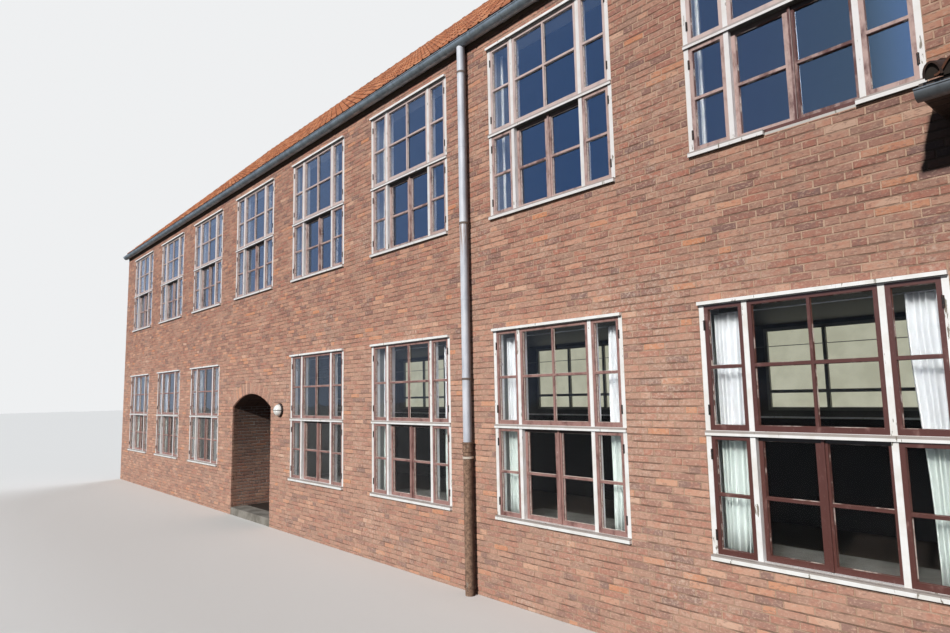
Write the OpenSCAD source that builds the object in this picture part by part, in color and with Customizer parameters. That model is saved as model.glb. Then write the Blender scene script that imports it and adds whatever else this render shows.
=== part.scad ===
// Two-storey school building: brick walls, tall timber windows, tiled gable roof.
// Millimetres. X runs along the facades, the street front faces -Y, Z is up.
// The origin is on the ground at the centre of the plan.

/* [Plan] */
// Distance from one window centre to the next
bay = 2760; // [2640:10:2900]
// Number of window bays
n_bays = 9; // [8:1:11]
// Depth of the house over both facades
depth = 9350; // [9000:50:10200]
// Thickness of the facade walls
wall_t = 350; // [300:10:400]
// Thickness of the gable walls
gable_t = 350; // [300:10:400]

/* [Levels] */
// Level of the ground floor
floor_z = 150; // [100:10:200]
// Height from one storey to the next
storey_h = 3600; // [3550:10:3800]
// Thickness of the first floor
slab_t = 250; // [200:10:300]
// Thickness of the attic floor
attic_t = 180; // [150:5:185]
// Level of the underside of the ground floor windows
sill_z = 933; // [880:1:1000]
// Brickwork between the upper window heads and the eaves
eaves_h = 175; // [175:5:260]

/* [Windows] */
// Width of a window frame
win_w = 1908; // [1800:4:1960]
// Height of a window frame
win_h = 2246; // [2180:2:2260]
// Depth of a window frame
frame_d = 120; // [118:2:140]
// Width of the jambs and mullions that shows
post_w = 46; // [40:1:56]
// Height of the head member
head_h = 36; // [30:1:50]
// Height of the sill member
frame_sill_h = 50; // [40:1:60]
// Height of the transom
transom_h = 46; // [40:1:56]
// Width of a side light
side_w = 356; // [320:2:380]
// Height of the lower lights
low_light_h = 1010; // [960:2:1040]
// How far the sashes sit behind the face of the frame
sash_in = 5; // [2:1:10]
// Thickness of the sashes
sash_t = 44; // [38:1:50]
// Width of the sash stiles and top rails
stile_w = 36; // [34:1:50]
// Width of the bottom rails
bottom_rail_w = 46; // [40:1:56]
// Width of a glazing bar
bar_w = 26; // [20:1:34]
// Depth of a glazing bar
bar_d = 24; // [20:1:34]
// How far the middle casements sit behind the face of the frame
casement_in = 52; // [46:1:74]
// Width of a meeting stile
meeting_w = 46; // [42:1:60]
// Thickness of the panes
pane_t = 4; // [3:1:8]
// How far the drip boards stand out of the wall
board_out = 40; // [25:1:55]
// Height of the head drip board
head_board_h = 30; // [24:1:36]
// Height of the transom drip board
mid_board_h = 40; // [30:1:44]
// Height of the sill drip board
sill_board_h = 44; // [36:1:50]

/* [Inside] */
// Reach of the inner window boards from the wall face
board_reach = 780; // [600:10:900]
// Thickness of the inner window boards
inner_board_t = 30; // [24:2:40]
// Distance from the front face to the corridor wall
corridor_y = 6000; // [5600:50:6200]
// Thickness of the corridor wall
corridor_t = 110; // [100:5:150]
// Width of a corridor light
light_w = 2980; // [2600:20:3100]
// Height of a corridor light
light_h = 1416; // [1300:4:1460]
// Level of the underside of the corridor lights
light_z = 2024; // [1980:4:2060]
// Width of the corridor lights' frames and bars
light_bar = 55; // [40:1:80]
// Width of a drawn-back curtain
curtain_w = 300; // [240:5:320]
// Thickness of a drawn-back curtain
curtain_t = 60; // [40:2:70]
// Distance from the wall face to the middle of the curtains
curtain_y = 200; // [190:2:230]
// Radius of a curtain rail
rail_r = 8; // [6:1:10]

/* [Porch] */
// Bay with the arched porch, counted from the left end
porch_bay = 3; // [2:1:5]
// Width of the porch
porch_w = 1932; // [1700:12:1950]
// Level at which the arch springs
spring_z = 2260; // [2100:10:2400]
// Rise of the arch
arch_rise = 270; // [200:10:360]
// Depth of the porch behind the wall face
porch_d = 1200; // [1000:20:1500]
// Thickness of the porch lining walls
lining_t = 110; // [100:2:140]
// Width of the porch door with its frame
door_w = 1500; // [1300:10:1600]
// Height of the porch door with its frame
door_h = 2030; // [1900:10:2050]

/* [Roof] */
// Pitch of the main roof in degrees
pitch = 44; // [40:0.5:48]
// Thickness of the boarded roof deck
deck_t = 120; // [100:5:140]
// How far the deck stands out of the facade
eave_out = 15; // [8:1:16]
// How far the tiles stand past the deck
tile_out = 105; // [80:5:120]
// Cover width of a pantile
tile_cover = 215; // [200:5:240]
// Thickness of the tiling between the rolls
tile_base = 22; // [18:1:30]
// Height of the tile rolls
tile_roll = 44; // [36:1:52]
// Radius of the ridge tiles
ridge_r = 120; // [110:5:140]
// Thickness of the ridge tiles
ridge_t = 18; // [14:1:24]

/* [Gutters] */
// Radius of the eaves gutters
gutter_r = 80; // [70:1:90]
// Thickness of the gutter metal
gutter_t = 4; // [3:1:5]
// Gap between the wall and the back edge of a gutter
gutter_gap = 22; // [22:1:30]
// Height of the gutter rim above the top of the wall face
rim_up = 72; // [60:1:90]
// Radius of the downpipes
pipe_r = 55; // [45:1:60]
// Distance from the wall face to the middle of a downpipe
pipe_y = 90; // [85:1:100]
// Level at which the zinc pipe enters the cast iron pipe
iron_z = 1813; // [1600:1:1950]
// Shift of the front downpipe from the middle of its pier
pipe_shift = 10; // [0:1:60]

/* [Canopy] */
// Width of the canopy
canopy_w = 3474; // [3200:2:3500]
// Distance from the wall face to the canopy's gutter rim
canopy_out = 655; // [600:5:720]
// Level of the canopy soffit
canopy_z = 4251; // [4150:1:4300]
// Pitch of the canopy roof in degrees
canopy_pitch = 22; // [15:0.5:26]
// How far the canopy tiles stand past their deck
canopy_tile_out = 40; // [20:5:60]
// Height of the canopy fascia
fascia_h = 95; // [85:1:150]
// Radius of the canopy gutter
canopy_gutter_r = 65; // [55:1:70]
// Thickness of the canopy brackets
bracket_t = 70; // [50:2:90]
// Reach and drop of the canopy brackets
bracket_l = 420; // [360:10:460]

/* [Lamp] */
// Radius of the wall lamp
lamp_r = 137; // [110:1:150]
// Level of the middle of the lamp
lamp_z = 2176; // [2050:1:2250]
// Depth of the lamp body
lamp_d = 60; // [40:1:70]

/* [Hidden] */

$fn = 48;
eps = 1;
seat = 0.3;
light_shift = 0.362;
light_rail_z = 295;
door_in = 30;
door_frame_w = 60;
door_leaf_t = 50;
door_rail = 110;
panel_in = 15;
sill_left_w = 712;
sill_right_w = 470;
board_bracket_t = 40;
board_lip = 60;
rail_down = 100;
curtain_in = 36;
curtain_up = 5;
wave_steps = 6;
strap_w = 30;
strap_t = 5;
straps_in_bay = 5;
collar_h = 26;
collar_t = 6;
iron_t = 5;
top_collar_down = 177;
mid_collar_up = 39;
low_collar_down = 1945;
iron_collar_down = 187;
socket_h = 110;
socket_in = 60;
lamp_ball = 60;
lamp_rim = 12;
canopy_rim_up = 15;
canopy_in = 200;
brick = [0.66, 0.42, 0.34];
white = [0.92, 0.91, 0.88];
red_brown = [0.42, 0.24, 0.21];
zinc = [0.62, 0.66, 0.70];
clay = [0.83, 0.42, 0.22];
glass = [0.45, 0.52, 0.60];

pier_w = bay - win_w;
house_l = n_bays * bay + pier_w;
slope = tan(pitch);
head_z = sill_z + win_h;
upper_sill_z = sill_z + storey_h;
upper_head_z = upper_sill_z + win_h;
wall_top = upper_head_z + eaves_h;
floor_1 = floor_z + storey_h;
canopy_bay = n_bays - 1;
pipe_bay = n_bays - 4;
damaged_bay = n_bays - 2;

function bay_x(i) = (i - (n_bays - 1) / 2) * bay;
porch_x = bay_x(porch_bay);
porch_x0 = bay_x(porch_bay - 1) + win_w / 2;
porch_x1 = bay_x(porch_bay + 1) - win_w / 2;
crown_z = spring_z + arch_rise;
pipe_x = (bay_x(pipe_bay) + bay_x(pipe_bay + 1)) / 2 + pipe_shift;

// Bays that have a window, by storey and side
lower_bays = [for (i = [0 : n_bays - 1]) if (i != porch_bay) i];
upper_bays = [for (i = [0 : n_bays - 2]) i];
all_bays = [for (i = [0 : n_bays - 1]) i];

// Puts a shape drawn against the wall face (y = 0, inwards +y) on a facade
module on_front() { translate([0, -depth / 2, 0]) children(); }
module on_back() { rotate([0, 0, 180]) on_front() children(); }

// Extrudes an outline drawn in x and z from y0 inwards by d
module plate(y0, d) {
    translate([0, y0 + d, 0]) rotate([90, 0, 0]) linear_extrude(d) children();
}

// Extrudes an outline drawn in y and z from x0 to the right by l
module run(x0, l) {
    translate([x0, 0, 0]) rotate([90, 0, 90]) linear_extrude(l) children();
}

// Upright box between two x and two z values through the wall
module wall_box(x0, x1, z0, z1) {
    translate([x0, 0, z0]) cube([x1 - x0, wall_t, z1 - z0]);
}

// Piers of one storey: one between neighbouring windows, and one at each end
module piers(bays, z0) {
    last = len(bays) - 1;
    for (k = [0 : last - 1])
        if (bays[k + 1] - bays[k] == 1)
            wall_box(bay_x(bays[k]) + win_w / 2, bay_x(bays[k + 1]) - win_w / 2, z0, z0 + win_h);
    wall_box(-house_l / 2, bay_x(bays[0]) - win_w / 2, z0, z0 + win_h);
    wall_box(bay_x(bays[last]) + win_w / 2, house_l / 2, z0, z0 + win_h);
}

// Brick walls of the front
module front_wall_base() color(brick) on_front() {
    wall_box(-house_l / 2, porch_x0, 0, sill_z);
    wall_box(porch_x1, house_l / 2, 0, sill_z);
}
module front_piers_lower() color(brick) on_front() piers(lower_bays, sill_z);
module front_wall_middle() color(brick) on_front()
    wall_box(-house_l / 2, house_l / 2, head_z, upper_sill_z);
module front_piers_upper() color(brick) on_front() piers(upper_bays, upper_sill_z);
module wall_top() color(brick) run(-house_l / 2, house_l)
    polygon([[0, upper_head_z], [wall_t, upper_head_z],
        [wall_t, wall_top + wall_t * slope], [0, wall_top]]);
module front_wall_top() on_front() wall_top();

// Outline of the porch opening, a segmental arch on straight jambs
module porch_outline(z0) {
    arch_r = (pow(porch_w / 2, 2) + pow(arch_rise, 2)) / (2 * arch_rise);
    translate([porch_x - porch_w / 2, z0]) square([porch_w, spring_z - z0]);
    intersection() {
        translate([porch_x, crown_z - arch_r]) circle(arch_r);
        translate([porch_x - porch_w / 2, spring_z - eps]) square([porch_w, arch_rise + 2 * eps]);
    }
}
module front_porch_wall() color(brick) on_front() plate(0, wall_t) difference() {
    translate([porch_x0, 0]) square([porch_x1 - porch_x0, head_z]);
    translate([0, -eps]) porch_outline(0);
    translate([porch_x - porch_w / 2, -2 * eps]) square([porch_w, 4 * eps]);
}

// Brick walls of the back and the gables
module back_wall_base() color(brick) on_back() wall_box(-house_l / 2, house_l / 2, 0, sill_z);
module back_piers_lower() color(brick) on_back() piers(all_bays, sill_z);
module back_wall_middle() color(brick) on_back()
    wall_box(-house_l / 2, house_l / 2, head_z, upper_sill_z);
module back_piers_upper() color(brick) on_back() piers(all_bays, upper_sill_z);
module back_wall_top() on_back() wall_top();
module gable(x0) color(brick) on_front() run(x0, gable_t)
    polygon([[wall_t, 0], [depth - wall_t, 0], [depth - wall_t, wall_top + wall_t * slope],
        [depth / 2, wall_top + depth / 2 * slope], [wall_t, wall_top + wall_t * slope]]);
module gable_left() gable(-house_l / 2);
module gable_right() gable(house_l / 2 - gable_t);

// Floors
module floor_plate(z_top, t) color("tan") on_front()
    translate([gable_t - house_l / 2, wall_t, z_top - t])
        cube([house_l - 2 * gable_t, depth - 2 * wall_t, t]);
module ground_floor() floor_plate(floor_z, floor_z);
module first_floor() floor_plate(floor_1, slab_t);
module attic_floor() floor_plate(wall_top, attic_t);

// Corridor wall with its high lights, three panes wide and two high
lights_x = [for (k = [0 : floor((n_bays - 2) / 2)]) bay_x(light_shift + 2 * k)];
module light_pane(i, j) {
    step = (light_w - light_bar) / 3;
    translate([light_bar + i * step, light_bar + j * light_rail_z])
        square([step - light_bar,
            j == 0 ? light_rail_z - light_bar : light_h - light_rail_z - 2 * light_bar]);
}
module corridor_wall() color("wheat") on_front() plate(corridor_y, corridor_t) difference() {
    translate([gable_t - house_l / 2, floor_z])
        square([house_l - 2 * gable_t, floor_1 - slab_t - floor_z]);
    for (x = lights_x) translate([x - light_w / 2, light_z]) square([light_w, light_h]);
}
module corridor_light_frames() color("dimgray") on_front() plate(corridor_y, corridor_t)
    for (x = lights_x) translate([x - light_w / 2, light_z]) difference() {
        square([light_w, light_h]);
        for (i = [0 : 2], j = [0, 1]) light_pane(i, j);
    }
module corridor_light_panes() color("khaki") on_front() plate(corridor_y + corridor_t / 2, pane_t)
    for (x = lights_x, i = [0 : 2], j = [0, 1])
        translate([x - light_w / 2, light_z]) light_pane(i, j);

// Porch behind the arch
module porch_step() color("gray") on_front()
    translate([porch_x - porch_w / 2, 0, 0]) cube([porch_w, wall_t, floor_z]);
module lining_outline() translate([porch_x - porch_w / 2 - lining_t, floor_z])
    square([porch_w + 2 * lining_t, crown_z + lining_t - floor_z]);
module porch_lining() color(brick) on_front() plate(wall_t, porch_d - wall_t) difference() {
    lining_outline();
    porch_outline(floor_z - eps);
}
module porch_back_wall() color(brick) on_front() plate(porch_d, lining_t) difference() {
    lining_outline();
    translate([porch_x - door_w / 2, floor_z - eps]) square([door_w, door_h + eps]);
}
module porch_door_frame() color(white) on_front() plate(porch_d + door_in, lining_t - door_in)
    translate([porch_x - door_w / 2, floor_z]) difference() {
        square([door_w, door_h]);
        translate([door_frame_w, -eps])
            square([door_w - 2 * door_frame_w, door_h - door_frame_w + eps]);
    }
module porch_door() color(red_brown) on_front() {
    leaf_w = door_w / 2 - door_frame_w - seat;
    leaf_h = door_h - door_frame_w;
    for (s = [0, 1])
        translate([porch_x + (s == 0 ? -leaf_w - seat : seat), porch_d + door_in, floor_z])
            difference() {
                cube([leaf_w, door_leaf_t, leaf_h]);
                for (z = [door_rail, leaf_h / 2 + door_rail / 2])
                    translate([door_rail, -eps, z])
                        cube([leaf_w - 2 * door_rail, panel_in + eps, leaf_h / 2 - 1.5 * door_rail]);
            }
}

// Windows, drawn with the middle of the frame's foot at the origin
mid_w = win_w - 4 * post_w - 2 * side_w;
up_light_z = frame_sill_h + low_light_h + transom_h;
up_light_h = win_h - head_h - up_light_z;
side_x = -win_w / 2 + post_w;
module at_windows(bays, z) { for (i = bays) translate([bay_x(i), 0, z]) children(); }
module both_sides() { children(); mirror([1, 0, 0]) children(); }
module window_frame() plate(0, frame_d) difference() {
    translate([-win_w / 2, 0]) square([win_w, win_h]);
    for (row = [[frame_sill_h, low_light_h], [up_light_z, up_light_h]]) {
        translate([-mid_w / 2, row[0]]) square([mid_w, row[1]]);
        for (x = [side_x, -side_x - side_w]) translate([x, row[0]]) square([side_w, row[1]]);
    }
}
// Sash of w by h with bars across, and one upright bar where uprights is 1
module sash(w, h, left, right, uprights) {
    plate(0, sash_t) difference() {
        square([w, h]);
        translate([left, bottom_rail_w]) square([w - left - right, h - bottom_rail_w - stile_w]);
    }
    plate(0, bar_d) {
        translate([left - eps, (h - bar_w) / 2]) square([w - left - right + 2 * eps, bar_w]);
        if (uprights == 1)
            translate([(w - bar_w) / 2, bottom_rail_w - eps])
                square([bar_w, h - bottom_rail_w - stile_w + 2 * eps]);
    }
}
module window_sashes() {
    casement_w = mid_w / 2 - seat;
    translate([0, sash_in, 0]) {
        both_sides() {
            translate([side_x, 0, frame_sill_h]) sash(side_w, low_light_h, stile_w, stile_w, 0);
            translate([side_x, 0, up_light_z]) sash(side_w, up_light_h, stile_w, stile_w, 0);
        }
        translate([-mid_w / 2, 0, up_light_z]) sash(mid_w, up_light_h, stile_w, stile_w, 1);
    }
    translate([0, casement_in, 0]) {
        translate([-mid_w / 2, 0, frame_sill_h]) sash(casement_w, low_light_h, stile_w, meeting_w, 0);
        translate([seat, 0, frame_sill_h]) sash(casement_w, low_light_h, meeting_w, stile_w, 0);
    }
}
// One sheet of glass behind the bars of each sash
module pane(x, z, w, h, left, right) translate([x + left, 0, z + bottom_rail_w])
    cube([w - left - right, pane_t, h - bottom_rail_w - stile_w]);
module window_glass() {
    translate([0, sash_in + bar_d, 0]) {
        both_sides() {
            pane(side_x, frame_sill_h, side_w, low_light_h, stile_w, stile_w);
            pane(side_x, up_light_z, side_w, up_light_h, stile_w, stile_w);
        }
        pane(-mid_w / 2, up_light_z, mid_w, up_light_h, stile_w, stile_w);
    }
    translate([0, casement_in + bar_d, 0]) both_sides()
        pane(seat, frame_sill_h, mid_w / 2 - seat, low_light_h, meeting_w, stile_w);
}
// Drip boards over the head, the transom and the sill
module head_and_mid_boards() {
    translate([-win_w / 2, -board_out, win_h - head_board_h])
        cube([win_w, board_out, head_board_h]);
    translate([-win_w / 2, -board_out / 2, up_light_z - transom_h])
        cube([win_w, board_out / 2, mid_board_h]);
}
module sill_board(x0, x1) translate([x0, -board_out, 0]) cube([x1 - x0, board_out, sill_board_h]);
module drip_boards() {
    head_and_mid_boards();
    sill_board(-win_w / 2, win_w / 2);
}

module frames_front_lower() color(white) on_front() at_windows(lower_bays, sill_z) window_frame();
module frames_front_upper() color(white) on_front()
    at_windows(upper_bays, upper_sill_z) window_frame();
module sashes_front_lower() color(red_brown) on_front()
    at_windows(lower_bays, sill_z) window_sashes();
module sashes_front_upper() color(red_brown) on_front()
    at_windows(upper_bays, upper_sill_z) window_sashes();
module glass_front_lower() color(glass) on_front() at_windows(lower_bays, sill_z) window_glass();
module glass_front_upper() color(glass) on_front()
    at_windows(upper_bays, upper_sill_z) window_glass();
// The upper window beside the canopy has lost the middle of its sill drip board
module drip_boards_front() color(white) on_front() {
    at_windows(lower_bays, sill_z) drip_boards();
    at_windows([for (i = upper_bays) if (i != damaged_bay) i], upper_sill_z) drip_boards();
    at_windows([damaged_bay], upper_sill_z) {
        head_and_mid_boards();
        sill_board(-win_w / 2, sill_left_w - win_w / 2);
        sill_board(win_w / 2 - sill_right_w, win_w / 2);
    }
}
module at_back_windows() on_back() {
    at_windows(all_bays, sill_z) children();
    at_windows(all_bays, upper_sill_z) children();
}
module frames_back() color(white) at_back_windows() window_frame();
module sashes_back() color(red_brown) at_back_windows() window_sashes();
module glass_back() color(glass) at_back_windows() window_glass();
module drip_boards_back() color(white) at_back_windows() drip_boards();

// Inner boards, each on two brackets, and the curtains of the ground floor windows
module inner_window_boards() color("gray") on_front() at_windows(lower_bays, sill_z)
    translate([-win_w / 2, frame_d, 0]) cube([win_w, board_reach - frame_d, inner_board_t]);
module board_brackets() color("gray") on_front() at_windows(lower_bays, sill_z)
    for (x = [-win_w / 4, win_w / 4]) run(x - board_bracket_t / 2, board_bracket_t)
        polygon([[wall_t, 0], [board_reach - board_lip, 0], [wall_t, wall_t - board_reach]]);
rail_z = win_h - rail_down;
module curtain_rails() color("silver") on_front() at_windows(lower_bays, sill_z)
    translate([-win_w / 2, curtain_y, rail_z]) rotate([0, 90, 0]) cylinder(r = rail_r, h = win_w);
module curtains() color("white") on_front() at_windows(lower_bays, sill_z) both_sides()
    translate([-win_w / 2 + curtain_in, curtain_y - curtain_t / 2, inner_board_t + curtain_up])
        cube([curtain_w, curtain_t, rail_z - rail_r - inner_board_t - curtain_up]);

// Roof
deck_rise = deck_t / cos(pitch);
module roof_deck() color("peru") run(-house_l / 2, house_l)
    polygon([[-eave_out, wall_top - eave_out * slope], [depth / 2, wall_top + depth / 2 * slope],
        [depth / 2, wall_top + depth / 2 * slope + deck_rise],
        [-eave_out, wall_top - eave_out * slope + deck_rise]]);
module roof_deck_front() on_front() roof_deck();
module roof_deck_back() on_back() roof_deck();

// Tiles as one waved sheet, l wide, with its foot plane through the origin, running downhill
function wave(u) = tile_base + tile_roll * (1 - cos(360 * u)) / 2;
module tile_sheet(l, run_l, angle) {
    count = round(l / tile_cover);
    rotate([90 + angle, 0, 0]) linear_extrude(run_l)
        polygon([[-l / 2, 0], for (i = [0 : count * wave_steps])
            [-l / 2 + i * l / (count * wave_steps), wave(i / wave_steps)], [l / 2, 0]]);
}
module roof_tiles() color(clay) translate([0, depth / 2, wall_top + depth / 2 * slope + deck_rise])
    tile_sheet(house_l, (depth / 2 + eave_out) / cos(pitch) + tile_out, pitch);
module roof_tiles_front() on_front() roof_tiles();
module roof_tiles_back() on_back() roof_tiles();
module ridge_tiles() color(clay)
    translate([0, 0, wall_top + depth / 2 * slope + deck_rise
        + (tile_base + tile_roll) / cos(pitch) - ridge_r * slope])
        run(-house_l / 2, house_l) difference() {
            circle(ridge_r);
            circle(ridge_r - ridge_t);
            translate([-2 * ridge_r, -2 * ridge_r]) square([4 * ridge_r, 2 * ridge_r]);
        }

// Half-round gutter of n lengths with closed ends, its rim at z = 0 and its middle at y = 0
module gutter(l, r, n) {
    length = (l - (n - 1) * seat) / n;
    for (i = [0 : n - 1]) {
        x = -l / 2 + i * (length + seat);
        run(x, length) difference() {
            circle(r);
            circle(r - gutter_t);
            translate([-2 * r, 0]) square([4 * r, 2 * r]);
        }
        if (i == 0) gutter_end(x, r);
        if (i == n - 1) gutter_end(x + length - gutter_t, r);
    }
}
module gutter_end(x, r) run(x, gutter_t) difference() {
    circle(r - gutter_t / 2);
    translate([-2 * r, 0]) square([4 * r, 2 * r]);
}
gutter_y = gutter_gap + gutter_r;
gutter_z = wall_top + rim_up;
module outlet(x) translate([x, -pipe_y, gutter_z - 2 * gutter_r])
    cylinder(r = pipe_r - gutter_t, h = 2 * gutter_r);
module eaves_gutter(x) color(zinc) difference() {
    translate([0, -gutter_y, gutter_z]) gutter(house_l, gutter_r, n_bays);
    outlet(x);
}
module gutter_front() on_front() eaves_gutter(pipe_x);
module gutter_back() on_back() eaves_gutter(pipe_x);
module gutter_bracket() translate([0, -gutter_y, gutter_z]) run(-strap_w / 2, strap_w) difference() {
    union() {
        circle(gutter_r + seat + strap_t);
        translate([gutter_r, -strap_w]) square([gutter_gap - eave_out, strap_w]);
    }
    circle(gutter_r + seat);
    translate([-2 * gutter_r, 0]) square([4 * gutter_r, 2 * gutter_r]);
}
module gutter_brackets() color(zinc) {
    strap_gap = bay / straps_in_bay;
    strap_n = floor(house_l / 2 / strap_gap);
    for (i = [-strap_n : strap_n]) translate([i * strap_gap, 0, 0]) {
        on_front() gutter_bracket();
        on_back() gutter_bracket();
    }
}

// Downpipes; the zinc one stands in the socket of the cast iron one
module bore(z0, z1) translate([0, 0, z0 - eps]) cylinder(r = pipe_r - gutter_t, h = z1 - z0 + 2 * eps);
module zinc_pipe(z0) color(zinc) translate([pipe_x, -pipe_y, 0]) difference() {
    translate([0, 0, z0]) cylinder(r = pipe_r, h = gutter_z - gutter_r / 2 - z0);
    bore(z0, gutter_z);
    translate([-2 * pipe_r, pipe_y - gutter_y, gutter_z])
        rotate([0, 90, 0]) cylinder(r = gutter_r, h = 4 * pipe_r);
}
module downpipe_zinc() on_front() zinc_pipe(iron_z - socket_in);
module downpipe_back() on_back() zinc_pipe(0);
module downpipe_iron() color("sienna") on_front() translate([pipe_x, -pipe_y, 0]) difference() {
    union() {
        cylinder(r = pipe_r + iron_t, h = iron_z);
        translate([0, 0, iron_z - socket_h]) cylinder(r = pipe_r + 2 * iron_t, h = socket_h);
    }
    bore(0, iron_z);
    translate([0, 0, iron_z - socket_in]) cylinder(r = pipe_r + seat, h = socket_h);
}

// Collars around the downpipes, each held off the wall by a stay
module collar(r, z) translate([pipe_x, -pipe_y, z - collar_h / 2]) difference() {
    union() {
        cylinder(r = r + collar_t, h = collar_h);
        translate([-strap_w / 2, 0, 0]) cube([strap_w, pipe_y, collar_h]);
    }
    translate([0, 0, -eps]) cylinder(r = r + seat, h = collar_h + 2 * eps);
}
collars_z = [upper_head_z - top_collar_down, upper_sill_z + mid_collar_up,
    upper_sill_z - low_collar_down];
iron_collar_z = iron_z - iron_collar_down;
module pipe_collars() color(zinc) {
    on_front() {
        for (z = collars_z) collar(pipe_r, z);
        collar(pipe_r + iron_t, iron_collar_z);
    }
    on_back() for (z = concat(collars_z, [iron_collar_z])) collar(pipe_r, z);
}

// Round lamp on the pier beside the porch
lamp_x = (porch_x + porch_w / 2 + porch_x1) / 2;
module wall_lamp() color(white) on_front() translate([lamp_x, 0, lamp_z]) rotate([90, 0, 0]) {
    cylinder(r = lamp_r, h = lamp_d);
    translate([0, 0, lamp_d]) intersection() {
        translate([0, 0, -lamp_ball]) sphere(sqrt(pow(lamp_r - lamp_rim, 2) + pow(lamp_ball, 2)));
        translate([0, 0, -eps]) cylinder(r = lamp_r, h = lamp_r);
    }
}

// Lean-to canopy at the right end of the front
canopy_x = bay_x(canopy_bay);
canopy_deck_y = canopy_out - 2 * canopy_gutter_r;
module canopy_deck() color("saddlebrown") on_front() run(canopy_x - canopy_w / 2, canopy_w)
    polygon([[0, canopy_z], [0, canopy_z + fascia_h + canopy_deck_y * tan(canopy_pitch)],
        [-canopy_deck_y, canopy_z + fascia_h], [-canopy_deck_y, canopy_z]]);
module canopy_tiles() color(clay) on_front()
    translate([canopy_x, 0, canopy_z + fascia_h + canopy_deck_y * tan(canopy_pitch)])
        tile_sheet(canopy_w, canopy_deck_y / cos(canopy_pitch) + canopy_tile_out, canopy_pitch);
module canopy_gutter() color(zinc) on_front()
    translate([canopy_x, canopy_gutter_r - canopy_out, canopy_z + canopy_rim_up])
        gutter(canopy_w, canopy_gutter_r, 1);
module canopy_brackets() color("saddlebrown") on_front()
    for (x = [canopy_in - canopy_w / 2, 0, canopy_w / 2 - canopy_in])
        run(canopy_x + x - bracket_t / 2, bracket_t) difference() {
            translate([-bracket_l, canopy_z - bracket_l]) square(bracket_l);
            translate([-bracket_l, canopy_z - bracket_l]) circle(bracket_l - bracket_t);
        }

front_wall_base();
front_piers_lower();
front_porch_wall();
front_wall_middle();
front_piers_upper();
front_wall_top();
back_wall_base();
back_piers_lower();
back_wall_middle();
back_piers_upper();
back_wall_top();
gable_left();
gable_right();
ground_floor();
first_floor();
attic_floor();
corridor_wall();
corridor_light_frames();
corridor_light_panes();
porch_step();
porch_lining();
porch_back_wall();
porch_door_frame();
porch_door();
frames_front_lower();
frames_front_upper();
sashes_front_lower();
sashes_front_upper();
glass_front_lower();
glass_front_upper();
drip_boards_front();
frames_back();
sashes_back();
glass_back();
drip_boards_back();
inner_window_boards();
board_brackets();
curtain_rails();
curtains();
roof_deck_front();
roof_deck_back();
roof_tiles_front();
roof_tiles_back();
ridge_tiles();
gutter_front();
gutter_back();
gutter_brackets();
downpipe_zinc();
downpipe_iron();
downpipe_back();
pipe_collars();
wall_lamp();
canopy_deck();
canopy_tiles();
canopy_gutter();
canopy_brackets();
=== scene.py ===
import math

import bpy
import numpy as np
from mathutils import Matrix, Vector


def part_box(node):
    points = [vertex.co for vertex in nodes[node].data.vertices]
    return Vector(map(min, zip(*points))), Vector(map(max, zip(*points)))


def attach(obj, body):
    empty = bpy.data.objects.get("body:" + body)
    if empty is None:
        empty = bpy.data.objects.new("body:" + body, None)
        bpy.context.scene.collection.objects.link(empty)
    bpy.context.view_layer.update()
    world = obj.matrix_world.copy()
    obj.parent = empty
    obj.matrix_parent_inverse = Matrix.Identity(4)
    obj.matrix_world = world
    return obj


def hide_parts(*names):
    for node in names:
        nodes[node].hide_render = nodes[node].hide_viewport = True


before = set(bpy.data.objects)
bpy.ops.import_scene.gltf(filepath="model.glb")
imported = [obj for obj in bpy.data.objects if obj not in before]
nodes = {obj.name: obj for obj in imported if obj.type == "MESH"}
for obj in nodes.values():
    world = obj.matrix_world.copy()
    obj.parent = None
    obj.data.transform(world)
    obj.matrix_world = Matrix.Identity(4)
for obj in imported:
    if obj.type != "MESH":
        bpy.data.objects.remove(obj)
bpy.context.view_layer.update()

# View and light
# The camera stands off the right end of the front, at eye level on rising ground, and looks along
# the facade. A low lamp from the right stands in for the sun, over a pale floor. A wide, weak lamp
# behind the house lifts the sides that the sun leaves dark.
camera_place = (10.516, -10.127, 2.386)
heading, lift, lean = (math.radians(a) for a in (49.066, 6.734, 1.128))
lens_mm = 25.2
sky_colour, sky_power = (0.80, 0.88, 1.0, 1), 0.13
pale = (0.86, 0.87, 0.88, 1)
mirrored_sky = (0.53, 0.65, 0.86, 1)
floor_dull = (0.13, 0.125, 0.115, 1)


def moved(x, y, z):
    return Matrix.Translation((x, y, z))


def rotated(angle, axis):
    return Matrix.Rotation(angle, 4, axis)


bpy.context.scene.view_settings.view_transform = "Standard"
bpy.ops.object.select_all(action="DESELECT")
bpy.ops.object.camera_add()
camera = bpy.context.object
camera.matrix_world = (moved(*camera_place) @ rotated(heading, "Z") @ rotated(lift, "X")
    @ rotated(lean, "Y") @ rotated(math.pi / 2, "X"))
camera.data.lens = lens_mm
camera.data.sensor_width = 36
camera.data.clip_end = 500
bpy.context.scene.camera = camera


def add_sun(aside, height, power, spread, colour):
    """A far lamp, in degrees to the right of the front's middle line and above the ground."""
    bpy.ops.object.light_add(type="SUN")
    lamp = bpy.context.object
    lamp.matrix_world = rotated(math.radians(aside), "Z") @ rotated(math.radians(90 - height), "X")
    lamp.data.energy, lamp.data.angle, lamp.data.color = power, math.radians(spread), colour


add_sun(aside=14, height=26, power=3.35, spread=1.2, colour=(1.0, 0.965, 0.91))
add_sun(aside=200, height=48, power=1.3, spread=40, colour=(0.92, 0.96, 1.0))


def plug(socket, value):
    """Sets a socket to a plain value, or joins it to what another node gives."""
    if isinstance(value, bpy.types.Node):
        value = next(o for o in value.outputs if o.enabled)
    if isinstance(value, bpy.types.NodeSocket):
        socket.id_data.links.new(value, socket)
    else:
        socket.default_value = value


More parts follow.
